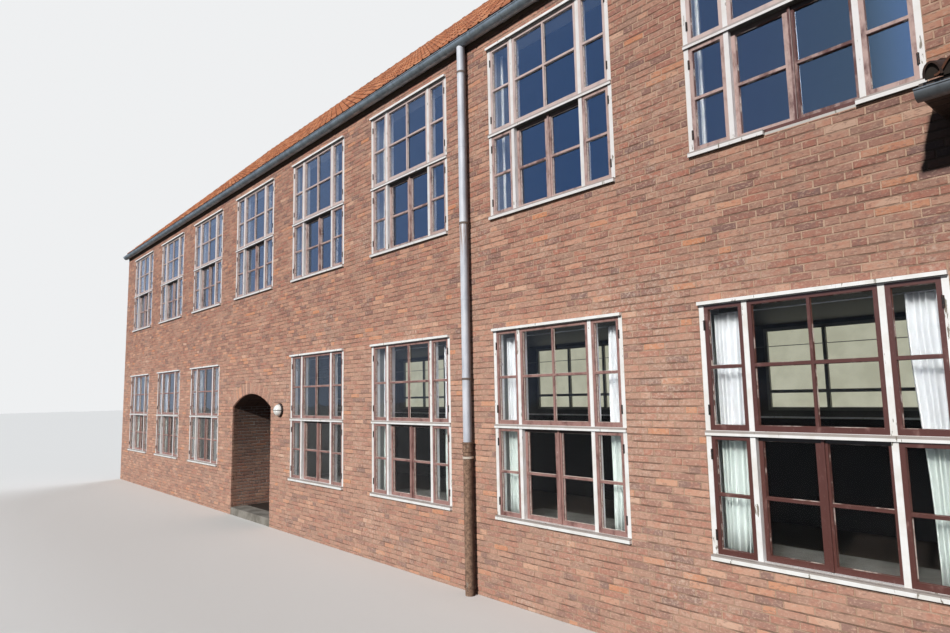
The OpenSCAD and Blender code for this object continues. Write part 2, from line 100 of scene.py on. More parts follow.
def node(beside, kind, inputs=None, **settings):
    """A new shader node in a material or a world, or beside another node."""
    tree = getattr(beside, "node_tree", None) or beside.id_data
    made = tree.nodes.new("ShaderNode" + kind)
    for key, value in settings.items():
        setattr(made, key, value)
    for key, value in (inputs or {}).items():
        plug(made.inputs[key], value)
    return made


def new_material(name, **values):
    """A material with one Principled shader, and the plain values set on it."""
    material = bpy.data.materials.new(name)
    material.use_nodes = True
    for key, value in values.items():
        label = key.replace("_", " ").title().replace("Ior", "IOR")
        main_shader(material).inputs[label].default_value = value
    return material


def main_shader(material):
    return material.node_tree.nodes["Principled BSDF"]


def show(material, shader):
    plug(material.node_tree.nodes["Material Output"].inputs["Surface"], shader)


def seen_directly(owner, *rays):
    """One where a ray comes from the camera or is of the given kinds, and nought elsewhere."""
    path = node(owner, "LightPath")
    seen = path.outputs["Is Camera Ray"]
    for ray in rays:
        seen = node(owner, "Math", {0: seen, 1: path.outputs[ray]}, operation="ADD", use_clamp=True)
    return seen


world = bpy.data.worlds.new("studio")
bpy.context.scene.world = world
world.use_nodes = True
sky = world.node_tree.nodes["Background"]
plug(sky.inputs["Color"], sky_colour)
plug(sky.inputs["Strength"], sky_power)
mirrored = node(world, "LightPath").outputs["Is Glossy Ray"]
shade = node(world, "Mix", {0: mirrored, 6: pale, 7: mirrored_sky}, data_type="RGBA")
backdrop = node(world, "Background", {"Color": shade})
plug(world.node_tree.nodes["World Output"].inputs["Surface"], node(world, "MixShader",
    {0: seen_directly(world, "Is Glossy Ray", "Is Transmission Ray"), 1: sky, 2: backdrop}))

bpy.ops.mesh.primitive_plane_add(size=400)
floor = bpy.context.object
floor.name = "studio_floor"
stone = new_material("studio floor", base_color=floor_dull, roughness=0.9)
show(stone, node(stone, "MixShader", {0: seen_directly(stone, "Is Transmission Ray"),
    1: main_shader(stone), 2: node(stone, "BsdfDiffuse", {"Color": pale})}))
floor.data.materials.append(stone)

# Brickwork
# Hand-moulded facing bricks in monk bond, two stretchers to each header, in grey lime mortar that is
# struck a little back. The fired clay runs from plum to orange, and old salts have left pale patches.
face = -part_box("front_wall_middle")[0].y
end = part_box("front_wall_middle")[1].x
sill_z, head_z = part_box("front_wall_base")[1].z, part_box("front_wall_middle")[0].z
storey_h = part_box("front_wall_middle")[1].z - sill_z
wall_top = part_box("attic_floor")[1].z
lower_row, upper_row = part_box("frames_front_lower"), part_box("frames_front_upper")
bay = (lower_row[1].x - lower_row[0].x) - (upper_row[1].x - upper_row[0].x)
bays = round(2 * end / bay)
window_w = (lower_row[1].x - lower_row[0].x) - (bays - 1) * bay
window_h = head_z - sill_z
bay_x = [(i - (bays - 1) / 2) * bay for i in range(bays)]
porch_bay, canopy_bay = 3, bays - 1
porch_x = bay_x[porch_bay]

brick_l, brick_h, joint = 0.228, 0.0547, 0.012
course_h = brick_h + joint
proud, sunk = 0.005, 0.010
edge_wear = 0.0035
least_piece = 0.045
bond = (0.0, 0.24, 0.48)
bond_repeat = 0.6
bond_shifts = (0.0, 0.30, 0.12, 0.42)
# Hand-made bricks differ a little in length, height and how they lie.
length_spread, height_spread, lean_spread, turn_spread = 0.0016, 0.0008, 0.006, 0.010
depth_spread = (-0.0012, 0.0016)
dice = np.random.default_rng(7)


def activate(piece):
    bpy.ops.object.select_all(action="DESELECT")
    piece.select_set(True)
    bpy.context.view_layer.objects.active = piece
    return piece


def settle(piece):
    """Puts a piece's place, turn and size into its mesh."""
    activate(piece)
    bpy.ops.object.transform_apply(location=True, rotation=True, scale=True)
    return piece


def add_box(name, low, high):
    bpy.ops.object.select_all(action="DESELECT")
    bpy.ops.mesh.primitive_cube_add(size=1, location=[(a + b) / 2 for a, b in zip(low, high)])
    piece = bpy.context.object
    piece.name = piece.data.name = name
    piece.scale = [b - a for a, b in zip(low, high)]
    return settle(piece)


def open_faces(piece, test):
    """Opens a piece for editing with only the faces selected that pass the test."""
    activate(piece)
    bpy.context.tool_settings.mesh_select_mode = (False, False, True)
    for part in (piece.data.vertices, piece.data.edges):
        part.foreach_set("select", [False] * len(part))
    for polygon in piece.data.polygons:
        polygon.select = test(polygon)
    bpy.ops.object.mode_set(mode="EDIT")


def close(piece):
    bpy.ops.object.mode_set(mode="OBJECT")
    return piece


def front_face(polygon):
    return polygon.normal.y < -0.5


def any_face(polygon):
    return True


def work(piece, test, tool, **settings):
    """Uses one mesh tool on the faces that pass the test."""
    open_faces(piece, test)
    tool(**settings)
    return close(piece)


def round_edges(piece, offset, segments=1, test=front_face):
    return work(piece, test, bpy.ops.mesh.bevel, offset=offset, segments=segments, affect="EDGES")


def apply_modifier(piece, kind, **settings):
    activate(piece)
    modifier = piece.modifiers.new(kind.lower(), kind)
    for key, value in settings.items():
        setattr(modifier, key, value)
    bpy.ops.object.modifier_apply(modifier=modifier.name)
    return piece


def lay(model, name, places, tones=None):
    """One mesh of copies of a modelled piece at the given 4 x 4 places, each with its own tone."""
    shape = model.data
    points = np.array([v.co for v in shape.vertices])
    turns = np.array([[list(row) for row in place] for place in places])
    spots = np.einsum("nij,vj->nvi", turns[:, :3, :3], points) + turns[:, None, :3, 3]
    faces = [tuple(v + n * len(points) for v in polygon.vertices)
             for n in range(len(places)) for polygon in shape.polygons]
    mesh = bpy.data.meshes.new(name)
    mesh.from_pydata(spots.reshape(-1, 3).tolist(), [], faces)
    mesh.polygons.foreach_set("use_smooth", [p.use_smooth for p in shape.polygons] * len(places))
    if any(edge.use_edge_sharp for edge in shape.edges):
        mesh.set_sharp_from_angle(angle=math.radians(35))
    tone = mesh.attributes.new("tone", "FLOAT", "POINT")
    tones = dice.random(len(places)) if tones is None else np.array(tones)
    tone.data.foreach_set("value", np.repeat(tones, len(points)).astype(np.float32))
    made = bpy.data.objects.new(name, mesh)
    bpy.context.scene.collection.objects.link(made)
    bpy.data.objects.remove(model)
    return made


def split_course(low, high, z0, z1, openings):
    """The lengths of a course that the openings leave, each with its own bottom and top."""
    left = [(low, high, z0, z1)]
    for ox0, ox1, oz0, oz1 in openings:
        rest = []
        for x0, x1, za, zb in left:
            if ox1 <= x0 or ox0 >= x1 or oz1 <= za or oz0 >= zb:
                rest.append((x0, x1, za, zb))
                continue
            rest += [(x0, ox0, za, zb)] * (ox0 > x0) + [(ox1, x1, za, zb)] * (ox1 < x1)
            m0, m1 = max(x0, ox0), min(x1, ox1)
            rest += [(m0, m1, za, oz0)] * (oz0 - za > joint) + [(m0, m1, oz1, zb)] * (zb - oz1 > joint)
        left = rest
    return left


def wall_bricks(low, high, bottom, top, openings, turn, away, narrow=None):
    """Places of the bricks on one wall. Its face is `away` from the middle, turned by `turn`."""
    places = []
    first = math.floor((bottom - head_z) / course_h)
    last = math.ceil((top - head_z) / course_h)
    wall = rotated(turn, "Z")
    for row in range(first, last):
        z0, z1 = head_z + row * course_h, head_z + (row + 1) * course_h
        z0, z1 = max(z0, bottom), min(z1, top)
        if z1 - z0 < 2 * joint:
            continue
        x_low, x_high = (low, high) if narrow is None else narrow(z1)
        gaps = openings(z0, z1) if callable(openings) else openings
        for x0, x1, za, zb in split_course(x_low, x_high, z0, z1, gaps):
            if x1 - x0 < least_piece:
                continue
            start = -end + bond_shifts[row % 4]
            count = range(math.floor((x0 - start) / bond_repeat),
                math.ceil((x1 - start) / bond_repeat) + 1)
            cuts = [start + n * bond_repeat + b for n in count for b in bond]
            cuts = [x0] + [c for c in cuts if x0 + least_piece < c < x1 - least_piece] + [x1]
            for a, b in zip(cuts, cuts[1:]):
                a += joint / 2 if a > low + 1e-6 else -proud
                b -= joint / 2 if b < high - 1e-6 else -proud
                length = b - a + dice.normal(0, length_spread)
                height = zb - za - joint + dice.normal(0, height_spread)
                tilt = rotated(dice.normal(0, lean_spread), "Y") @ rotated(dice.normal(0, turn_spread), "Z")
                at = ((a + b) / 2, -away - dice.uniform(*depth_spread), (za + zb) / 2)
                places.append(wall @ moved(*at) @ tilt
                    @ Matrix.Diagonal((length / brick_l, 1, height / brick_h, 1)))
    return places


def model_brick(worn):
    """A brick with its front to -y. The worn one has lost the edges of its front."""
    brick = add_box("brick", (-brick_l / 2, -proud, -brick_h / 2), (brick_l / 2, sunk, brick_h / 2))
    return round_edges(brick, edge_wear) if worn else brick


def windows_in(rows):
    """The openings of some rows, each given as its bays, its storey and the turn of its wall."""
    return [(bay_x[i] - window_w / 2, bay_x[i] + window_w / 2, z, z + window_h)
        for columns, row, turn in rows for z in [sill_z + row * storey_h] for i in columns]


# The porch arch is a flat curve of bricks set on end.
porch_low, porch_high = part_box("porch_step")
porch_half = (porch_high.x - porch_low.x) / 2
spring_z, crown_z = 2.23, 2.50
arch_rise = crown_z - spring_z
arch_r = (porch_half ** 2 + arch_rise ** 2) / (2 * arch_rise)
arch_z = crown_z - arch_r
ring_h = brick_l
skew = math.asin(porch_half / arch_r)


def porch_gap(z0, z1):
    """The porch opening and its ring of bricks, at the height of one course."""
    z = (z0 + z1) / 2
    outer = arch_z + (arch_r + ring_h + joint) * math.cos(skew)
    if z < spring_z:
        half = porch_half
    elif z < outer:
        half = porch_half + (z - spring_z) * math.tan(skew) + joint
    else:
        half = math.sqrt(max((arch_r + ring_h + joint) ** 2 - (z - arch_z) ** 2, 0))
    return [(porch_x - half, porch_x + half, z0, z1)] if half > 0 else []


half_turn, quarter_turn = math.pi, math.pi / 2
front_rows = (([i for i in range(bays) if i != porch_bay], 0, 0), (range(bays - 1), 1, 0))
back_rows = ((range(bays), 0, half_turn), (range(bays), 1, half_turn))
front_windows, back_windows = windows_in(front_rows), windows_in(back_rows)
roof_slope = (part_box("gable_left")[1].z - wall_top) / face


def gable_width(z):
    reach = face if z < wall_top else max(face - (z - wall_top) / roof_slope, 0)
    return -reach, reach


gable_top = wall_top + face * roof_slope - 0.1
walls = {
    "bricks_front": wall_bricks(-end, end, 0, wall_top,
        lambda low, high: front_windows + porch_gap(low, high), 0, face),
    "bricks_back": wall_bricks(-end, end, 0, wall_top, back_windows, half_turn, face),
    "bricks_gable_right": wall_bricks(-face, face, 0, gable_top, [], quarter_turn, end, gable_width),
    "bricks_gable_left": wall_bricks(-face, face, 0, gable_top, [], -quarter_turn, end, gable_width),
}
ring_n = round(2 * skew * arch_r / course_h)


def on_arch(n, y, out):
    """A place on the arch's ray for brick n of the ring, out from its curve."""
    angle = skew * ((2 * n + 1) / ring_n - 1)
    return moved(porch_x, y, arch_z) @ rotated(angle, "Y") @ moved(0, 0, arch_r + out)


walls["bricks_front"] += [on_arch(n, -face, ring_h / 2) @ rotated(quarter_turn, "Y")
    for n in range(ring_n)]
inner_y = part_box("porch_back_wall")[0].y
step_z = porch_high.z
side_bricks = wall_bricks(-face, inner_y, step_z, spring_z, [], quarter_turn, porch_x - porch_half)
side_bricks += wall_bricks(-inner_y, face, step_z, spring_z, [], -quarter_turn, -porch_x - porch_half)
facing_down = Matrix(((0, 0, 1, 0), (1, 0, 0, 0), (0, 1, 0, 0), (0, 0, 0, 1)))
depth_n = round((inner_y + face) / (brick_l + joint))
side_bricks += [on_arch(n, -face + (k + 0.5) * (inner_y + face) / depth_n, 0) @ facing_down
    for n in range(ring_n) for k in range(depth_n)]
walls["bricks_porch"] = side_bricks


def rgb(*screen):
    """A colour as seen on a screen, for a shader."""
    return tuple(((c / 255 + 0.055) / 1.055) ** 2.4 if c > 10 else c / 255 / 12.92 for c in screen) + (1,)


def place(material, scale=(1, 1, 1)):
    """Where a point lies on the building, in metres, stretched by scale."""
    here = node(material, "TexCoord").outputs["Object"]
    return node(material, "Mapping", {"Vector": here, "Scale": scale})


def position(material):
    """The x, y and z of a point on the building."""
    return node(material, "SeparateXYZ", {"Vector": node(material, "TexCoord").outputs["Object"]}).outputs


def noise(at, scale, detail=4, roughness=0.55):
    return node(at, "TexNoise", {"Vector": at, "Scale": scale, "Detail": detail, "Roughness": roughness})


def ramp(height, *stops):
    """A colour for each height, from stops of a height and a screen colour."""
    made = node(height, "ValToRGB", {"Fac": height})
    elements = made.color_ramp.elements
    while len(elements) < len(stops):
        elements.new(0.5)
    for element, (at, *screen) in zip(elements, stops):
        element.position, element.color = at, rgb(*screen)
    return made


def band(value, low=0.35, high=0.7):
    """Nought below low and one above high with a soft step between, for a mask."""
    return node(value, "MapRange", {"Value": value, "From Min": low, "From Max": high},
        interpolation_type="SMOOTHSTEP")


def fade(value, start, stop, low=0.0, high=1.0):
    """Runs evenly from low at start to high at stop."""
    return node(value, "MapRange",
        {"Value": value, "From Min": start, "From Max": stop, "To Min": low, "To Max": high})


def reckon(how, *values):
    """One sum, on values of which at least one comes from a node."""
    beside = next(v for v in values if isinstance(v, (bpy.types.Node, bpy.types.NodeSocket)))
    return node(beside, "Math", dict(enumerate(values)), operation=how)


def times(value, *others):
    for other in others:
        value = reckon("MULTIPLY", value, other)
    return value


def minus(value, other):
    return reckon("SUBTRACT", value, other)


def most(value, other):
    return reckon("MAXIMUM", value, other)


def above(value, limit):
    """One where the value is over the limit, and nought elsewhere."""
    return reckon("GREATER_THAN", value, limit)


def below(value, limit):
    return reckon("LESS_THAN", value, limit)


def near(value, middle, reach):
    """One where the value is within reach of the middle, and nought elsewhere."""
    return reckon("COMPARE", value, middle, reach)


def scaled(value, by, start):
    return reckon("MULTIPLY_ADD", value, by, start)


def mix(mask, under, over, share=1.0):
    """One colour with another over it where the mask is one, the mask first thinned by share."""
    mask = times(mask, share) if share < 1 else mask
    return node(mask, "Mix", {0: mask, 6: under, 7: over}, data_type="RGBA")


def set_look(material, colour, roughness=None, height=None, strength=0.5, depth=0.002):
    """Joins a colour, a roughness and a surface height to a material's shader."""
    shader = main_shader(material)
    plug(shader.inputs["Base Color"], colour)
    if roughness is not None:
        plug(shader.inputs["Roughness"], roughness)
    if height is not None:
        bump = node(material, "Bump", {"Height": height, "Strength": strength, "Distance": depth})
        plug(shader.inputs["Normal"], bump)


def dress(piece, material):
    """Gives a new piece its finish, and fixes it to the building."""
    piece.data.materials.clear()
    piece.data.materials.append(material)
    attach(piece, "root")
    return piece


def paint_nodes(material, *names):
    for name in names:
        for material_slot in nodes[name].material_slots:
            material_slot.material = material


brick_clay = new_material("hand-moulded brick", roughness=0.9)
tone = node(brick_clay, "Attribute", attribute_name="tone").outputs["Fac"]
here = place(brick_clay)
fired = ramp(tone, (0.0, 126, 96, 92), (0.12, 154, 108, 96), (0.3, 180, 120, 102), (0.45, 166, 128, 112),
    (0.62, 191, 142, 121), (0.8, 182, 137, 120), (0.92, 209, 158, 134), (0.965, 214, 140, 98),
    (1.0, 222, 184, 162))
for stretch, detail, rough, scale, low, high, spots, share in (
        ((1, 1, 1.6), 5, 0.66, 34, 0.50, 0.66, rgb(216, 180, 158), 0.75),
        ((1, 1, 2.2), 4, 0.6, 23, 0.52, 0.68, rgb(118, 84, 76), 0.6),
        ((1, 1, 1), 3, 0.55, 9, 0.50, 0.66, rgb(196, 110, 84), 0.32)):
    dapple = noise(place(brick_clay, stretch), scale, detail, rough)
    fired = mix(band(dapple, low, high), fired, spots, share)
salts = times(band(noise(here, 1.1, 3), 0.46, 0.7), band(noise(here, 30, 5, 0.7), 0.48, 0.64))
fired = mix(salts, fired, rgb(226, 206, 190), 0.6)
canopy_foot = bay_x[canopy_bay] - 2.74
# Painted shadow lies between these heights under the canopy, ends on a slant, and starts again
# under the eaves.
shade_rake, shade_low, shade_high, eaves_shade = -0.217, 3.86, 4.31, 6.88


def cast_shade(x, y, z):
    """How far painted shadow blackens the wall at a point under the canopy or the eaves."""
    raked = scaled(z, shade_rake, x)
    under_canopy = times(fade(raked, canopy_foot - 0.03, canopy_foot), fade(z, shade_low, shade_low + 0.06),
        fade(z, shade_high, shade_high - 0.01), below(y, 0.02 - face))
    under_eaves = times(fade(z, eaves_shade, eaves_shade + 0.02), 0.85)
    off_gables = below(reckon("ABSOLUTE", x), end - 0.02)
    return times(most(under_canopy, under_eaves), off_gables, 0.88)


x, y, z = position(brick_clay)
# Painted shade darkens the porch, more towards its arch, and joins the painted shadow under the canopy and
# the eaves.
in_porch = times(above(y, 0.03 - face), below(y, 0.0), above(x, porch_x - 1.2), below(x, porch_x + 1.2))
painted_shade = most(times(in_porch, fade(z, 0.6, 2.3, 0.2, 0.85)), cast_shade(x, y, z))
# The brick is made paler, most on the lower storey, and darker towards the right end and higher up.
paler = scaled(fade(z, 3.8, 2.6), 0.18, 0.08)
fired = mix(paler, fired, rgb(206, 176, 160))
darker_right_and_high = times(fade(x, 6.0, 8.6), fade(z, 2.6, 3.4))
darker_right_and_high = reckon("ADD", times(darker_right_and_high, 0.22), times(fade(z, 2.8, 4.8), 0.16))
fired = mix(painted_shade, mix(darker_right_and_high, fired, rgb(84, 66, 62)), rgb(18, 15, 15))
creases = noise(place(brick_clay, (1, 1, 2.4)), 48, 5, 0.6)
set_look(brick_clay, fired, height=creases, strength=0.8, depth=0.004)
tone_map = {name: dice.random(len(places)) for name, places in walls.items()}
for name, places in walls.items():
    dress(lay(model_brick("gable" not in name), name, places, tone_map[name]), brick_clay)

# The mortar is what shows of the wall behind the bricks, darkest in the bed joints, which carry
# painted shadow under each brick and dirt. Inside, the same walls are plastered.
mortar = new_material("lime mortar and plaster", roughness=0.95)
here = place(mortar)
grain = noise(here, 160, 3, 0.7)
lime = mix(band(noise(here, 6, 5)), rgb(184, 154, 134), rgb(212, 184, 164))
lime = mix(band(grain, 0.3, 0.75), lime, rgb(164, 134, 114))
x, y, z = position(mortar)
courses = reckon("DIVIDE", minus(z, head_z), course_h)
bed = below(reckon("PINGPONG", courses, 0.5), 0.12)
# The bed joints are darkened in patches, as painted shadow and dirt.
shadow_and_dirt = band(noise(place(mortar, (1, 1, 3)), 4, 4, 0.6), 0.4, 0.62)
bed = times(bed, scaled(shadow_and_dirt, 0.72, 0.04))
lime = mix(bed, lime, rgb(96, 74, 62))
frame_depth = lower_row[1].y - lower_row[0].y
indoors = times(below(reckon("ABSOLUTE", y), face - frame_depth - 0.002),
    below(reckon("ABSOLUTE", x), end - 0.34))
lime = mix(indoors, lime, rgb(150, 152, 150))
# The same painted shadow blackens the mortar under the canopy and the eaves.
lime = mix(cast_shade(x, y, z), lime, rgb(26, 22, 20))
set_look(mortar, lime, height=grain, strength=0.7, depth=0.003)
paint_nodes(mortar, "front_wall_base", "front_piers_lower", "front_porch_wall", "front_wall_middle",
    "front_piers_upper", "front_wall_top", "back_wall_base", "back_piers_lower", "back_wall_middle",
    "back_piers_upper", "back_wall_top", "gable_left", "gable_right", "porch_lining", "porch_back_wall")

# Window frames
# Pine frames built flush with the wall, glossed white long ago. The paint has chalked and chipped,
# most along the sills, the transoms and the feet of the posts, down to grey wood.
row_low, row_mid, row_high, transom_h = 0.050, 1.060, window_h - 0.036, 0.046


def on_row(z):
    """A height over the foot of the window row that it lies in."""
    return minus(minus(z, sill_z), times(above(z, head_z + 0.2), storey_h))


def facing(material):
    """The x, y and z of the way a surface faces."""
    return node(material, "SeparateXYZ",
        {"Vector": node(material, "NewGeometry").outputs["True Normal"]}).outputs


white_paint = new_material("chipped white paint", roughness=0.42)
here = place(white_paint)
base = mix(band(noise(here, 7, 4), 0.35, 0.75), rgb(246, 248, 250), rgb(232, 231, 228))
x, y, z = position(white_paint)
aloft = times(above(z, sill_z + storey_h - 0.1), below(z, head_z + storey_h - 0.034))
base = mix(aloft, base, rgb(204, 198, 199), 0.4)
# The tops of the drip boards have weathered, and every underside is painted dark, as shade.
in_row = on_row(z)
for level, half in ((0.040, 0.009), (row_mid + 0.033, 0.010)):
    base = mix(near(in_row, level, half), base, rgb(134, 118, 110), 0.75)
base = mix(below(facing(white_paint)["Z"], -0.5), base, rgb(46, 46, 36), 0.92)
grey_wood = mix(noise(place(white_paint, (1, 1, 0.08)), 240, 3), rgb(112, 106, 98), rgb(160, 154, 142))
chips, patches = noise(place(white_paint, (1, 1, 0.22)), 24, 5, 0.62), noise(here, 2.3, 2)
chipped = band(reckon("ADD", chips, times(patches, 0.4)), 0.85, 0.89)
cracks = band(noise(place(white_paint, (1, 1, 0.1)), 90, 4, 0.65), 0.68, 0.74)
flawed = most(chipped, times(cracks, 0.35))
# Where the sill board of one upper window has gone, the sill behind it is bare.
bare_low = bay_x[canopy_bay - 1] - window_w / 2 + 0.712
bare_high = bay_x[canopy_bay - 1] + window_w / 2 - 0.47
bare = times(above(x, bare_low), below(x, bare_high), near(z, sill_z + storey_h + 0.02, 0.031),
    below(y, 0.0))
flawed = most(flawed, times(bare, 0.5))
primed = times(bare, above(in_row, 0.022))
grey_wood = mix(primed, grey_wood, rgb(70, 36, 34))
base = mix(primed, base, rgb(108, 66, 60))
set_look(white_paint, mix(flawed, base, grey_wood), roughness=scaled(flawed, 0.45, 0.42),
    height=minus(1.0, flawed), strength=0.6, depth=0.0012)
paint_nodes(white_paint, "frames_front_lower", "frames_front_upper", "frames_back", "drip_boards_front",
    "drip_boards_back", "porch_door_frame")

# Sashes
# Side lights hinged on the outer posts, a fixed light above and a pair of casements set back below,
# in red-brown oil paint. It holds on the near window and has bleached to pink on the others.
sash_paint = new_material("bleached red-brown paint", roughness=0.55)
here = place(sash_paint)
x, y, z = position(sash_paint)
near_edge = bay_x[canopy_bay - 1] - bay / 2
fresh_near = times(above(x, near_edge), below(z, head_z + 0.2))
fresh_leaf = times(above(x, bay_x[canopy_bay - 1]), below(x, bay_x[canopy_bay - 1] + 0.505),
    below(z, sill_z + storey_h + 1.07))
fresh = most(fresh_near, times(fresh_leaf, 0.6))
bleach = noise(place(sash_paint, (1, 1, 0.5)), 9, 5, 0.65)
bleach = band(minus(bleach, times(fresh, 0.3)), 0.26, 0.56)
on_door = near(y, -face / 2, face / 2 - 0.5)
bleach = times(bleach, scaled(on_door, -0.92, 1.0))
upstairs = above(z, head_z + 0.2)
pink = mix(upstairs, rgb(158, 122, 116), rgb(184, 158, 153))
oil = mix(bleach, rgb(92, 56, 51), pink)
oil = mix(above(z, sill_z + storey_h + 1.08), oil, rgb(212, 196, 194), 0.55)
flakes = band(noise(place(sash_paint, (1, 1, 0.3)), 70, 6, 0.7), 0.6, 0.66)
flakes = times(flakes, scaled(bleach, 0.6, 0.1))
oil = mix(flakes, oil, rgb(208, 192, 184))
# The casements' head rails, close under the transom, are painted dark as shadow.
rail_shadow = times(near(on_row(z), row_mid - 0.012, 0.024), near(y, 0.1 - face, 0.053))
oil = mix(rail_shadow, oil, rgb(34, 30, 28), 0.85)
set_look(sash_paint, oil, roughness=scaled(bleach, 0.35, 0.35), height=minus(1.0, flakes),
    strength=0.5, depth=0.001)
paint_nodes(sash_paint, "sashes_front_lower", "sashes_front_upper", "sashes_back", "porch_door")

# Iron butt hinges, painted black, two to each side light.
hinge_w, hinge_h, hinge_t, knuckle_r = 0.020, 0.088, 0.004, 0.006
post_w = 0.046
hinge_share = (0.16, 0.84)


def add_tube(sides, radius, length, ends="NGON", **where):
    """A round bar along z, or a tube open at its ends with NOTHING for ends."""
    bpy.ops.object.select_all(action="DESELECT")
    bpy.ops.mesh.primitive_cylinder_add(vertices=sides, radius=radius, depth=length, end_fill_type=ends,
        **where)
    return bpy.context.object


def join(pieces, name):
    activate(pieces[0])
    for piece in pieces[1:]:
        piece.select_set(True)
    bpy.ops.object.join()
    pieces[0].name = pieces[0].data.name = name
    return pieces[0]


def model_hinge():
    leaf = add_box("leaf", (-hinge_w / 2, -hinge_t, -hinge_h / 2), (hinge_w / 2, 0.001, hinge_h / 2))
    round_edges(leaf, 0.0015)
    knuckle = settle(add_tube(10, knuckle_r, hinge_h, location=(0, -hinge_t, 0)))
    work(knuckle, lambda polygon: abs(polygon.normal.z) > 0.5, bpy.ops.mesh.inset, thickness=0.002,
        depth=0.002)
    return join([leaf, knuckle], "leaf")


def window_spots(columns, row, turn, spots):
    """Places on every window of a row, each given from the middle of its foot, out of the wall."""
    wall = rotated(turn, "Z")
    z = sill_z + row * storey_h
    return [wall @ moved(bay_x[i] + x, -face + y, z + up)
            for i in columns for x, y, up in spots]


hinge_spots = []
for low, high in ((row_low, row_mid), (row_mid + transom_h, row_high)):
    for share in hinge_share:
        for side in (-1, 1):
            hinge_spots.append((side * (window_w / 2 - post_w), 0, low + share * (high - low)))


def two_tone(name, size, edges, first, second, relief, strength, depth, **values):
    """A finish in patches of two colours, with hard edges or none, over a fine relief."""
    made = new_material(name, **values)
    here = place(made)
    patches = band(noise(here, *size), *edges) if edges else noise(here, *size)
    set_look(made, mix(patches, rgb(*first), rgb(*second)), height=noise(here, *relief),
        strength=strength, depth=depth)
    return made


iron = two_tone("blackened iron", (60, 5, 0.7), (0.5, 0.66), (34, 30, 30), (96, 56, 38), (300, 3), 0.4,
    0.001, roughness=0.6, metallic=0.3)


def on_all_windows(spots):
    return [spot for row in front_rows + back_rows for spot in window_spots(*row, spots)]


dress(lay(model_hinge(), "hinges", on_all_windows(hinge_spots)), iron)

# Putty runs round every pane, painted over in the sash colour and bleached nearly white. A cover
# bead closes the joint between the casements.
sash_face, casement_face, bar_d = 0.005, 0.052, 0.024
side_w, stile_w, bottom_w, meeting_w, bar_w = 0.356, 0.036, 0.046, 0.046, 0.026
low_light = (row_low, row_mid)
up_light = (row_mid + transom_h, row_high)
mid_half = window_w / 2 - 2 * post_w - side_w
putty_w, putty_d = 0.004, 0.014
bead_w, bead_d = 0.024, 0.018


def pane_boxes(x0, x1, z0, z1, y, upright):
    """The clear openings of one sash, two high and one or two wide, as x, z and the glass's depth."""
    mid_z = (z0 + z1) / 2
    spans = [(x0, x1)] if not upright else [(x0, (x0 + x1 - bar_w) / 2), ((x0 + x1 + bar_w) / 2, x1)]
    return [(a, b, c, d, y + bar_d) for a, b in spans
            for c, d in ((z0 + bottom_w, mid_z - bar_w / 2), (mid_z + bar_w / 2, z1 - stile_w))]


def model_putty(width, height):
    """A frame of putty round one pane, tapering from the sash to the glass, its front to -y."""
    putty = add_box("putty", (-width / 2 - 0.001, -putty_d, -height / 2 - 0.001),
        (width / 2 + 0.001, 0.001, height / 2 + 0.001))
    open_faces(putty, lambda polygon: polygon.normal.y > 0.5)
    bpy.ops.mesh.inset(thickness=putty_w + 0.001)
    bpy.ops.mesh.delete(type="FACE")
    close(putty)
    open_faces(putty, front_face)
    bpy.ops.mesh.delete(type="FACE")
    bpy.context.tool_settings.mesh_select_mode = (False, True, False)
    bpy.ops.mesh.select_non_manifold()
    bpy.ops.mesh.bridge_edge_loops()
    bpy.ops.mesh.select_all(action="SELECT")
    bpy.ops.mesh.normals_make_consistent(inside=False)
    return close(putty)


boxes = []
side_in = window_w / 2 - post_w - side_w
for s in (-1, 1):
    for z0, z1 in (low_light, up_light):
        low_x, high_x = sorted((s * (side_in + stile_w), s * (side_in + side_w - stile_w)))
        boxes += pane_boxes(low_x, high_x, z0, z1, sash_face, False)
    low_x, high_x = sorted((s * meeting_w, s * (mid_half - stile_w)))
    boxes += pane_boxes(low_x, high_x, *low_light, casement_face, False)
boxes += pane_boxes(stile_w - mid_half, mid_half - stile_w, *up_light, sash_face, True)
by_size = {}
for x0, x1, z0, z1, y in boxes:
    size = (round(x1 - x0, 4), round(z1 - z0, 4))
    by_size.setdefault(size, []).append(((x0 + x1) / 2, y, (z0 + z1) / 2))
fillets = [lay(model_putty(*size), "putty", on_all_windows(spots)) for size, spots in by_size.items()]
putty = new_material("bleached putty", roughness=0.7)
here = place(putty)
fresh_putty = times(band(noise(here, 5, 4), 0.42, 0.5), above(position(putty)["X"], near_edge))
paler = mix(band(noise(here, 30, 4), 0.45, 0.65), rgb(212, 198, 190), rgb(176, 150, 140))
set_look(putty, mix(fresh_putty, paler, rgb(104, 66, 58)), height=noise(here, 120, 3), strength=0.3,
    depth=0.001)
dress(join(fillets, "putty_fillets"), putty)
bead = add_box("bead", (0.002, -bead_d, 0.004), (0.002 + bead_w, 0.002, row_mid - row_low - 0.004))
round_edges(bead, 0.004, 2)
beads = on_all_windows([(0, casement_face, row_low)])
dress(lay(bead, "meeting_beads", beads), sash_paint)

# Window glass
# Old drawn glass, not quite flat. The upper windows face open sky, and a blue tint on their
# mirroring paints in its reflection. The lower ones face bushes, and a dark grey tint paints their
# reflection dark; their lower panes are of a greener make, shown by a green tint on the curtains behind
# them.


def make_glass(name, body, mirrored, **values):
    """Clear glass that lets sunlight in, its mirroring tinted as a painted reflection of the sky."""
    made = new_material(name, base_color=body, roughness=0.01, transmission_weight=1.0,
        specular_tint=mirrored, **values)
    ripple = noise(place(made), 1.7, 2)
    plug(main_shader(made).inputs["Normal"],
        node(made, "Bump", {"Height": ripple, "Strength": 0.25, "Distance": 0.01}))
    show(made, node(made, "MixShader", {0: node(made, "LightPath").outputs["Is Shadow Ray"],
        1: main_shader(made), 2: node(made, "BsdfTransparent", {"Color": rgb(242, 242, 242)})}))
    return made


sky_glass = make_glass("glass under open sky", rgb(206, 212, 220), rgb(126, 174, 255), ior=1.95)
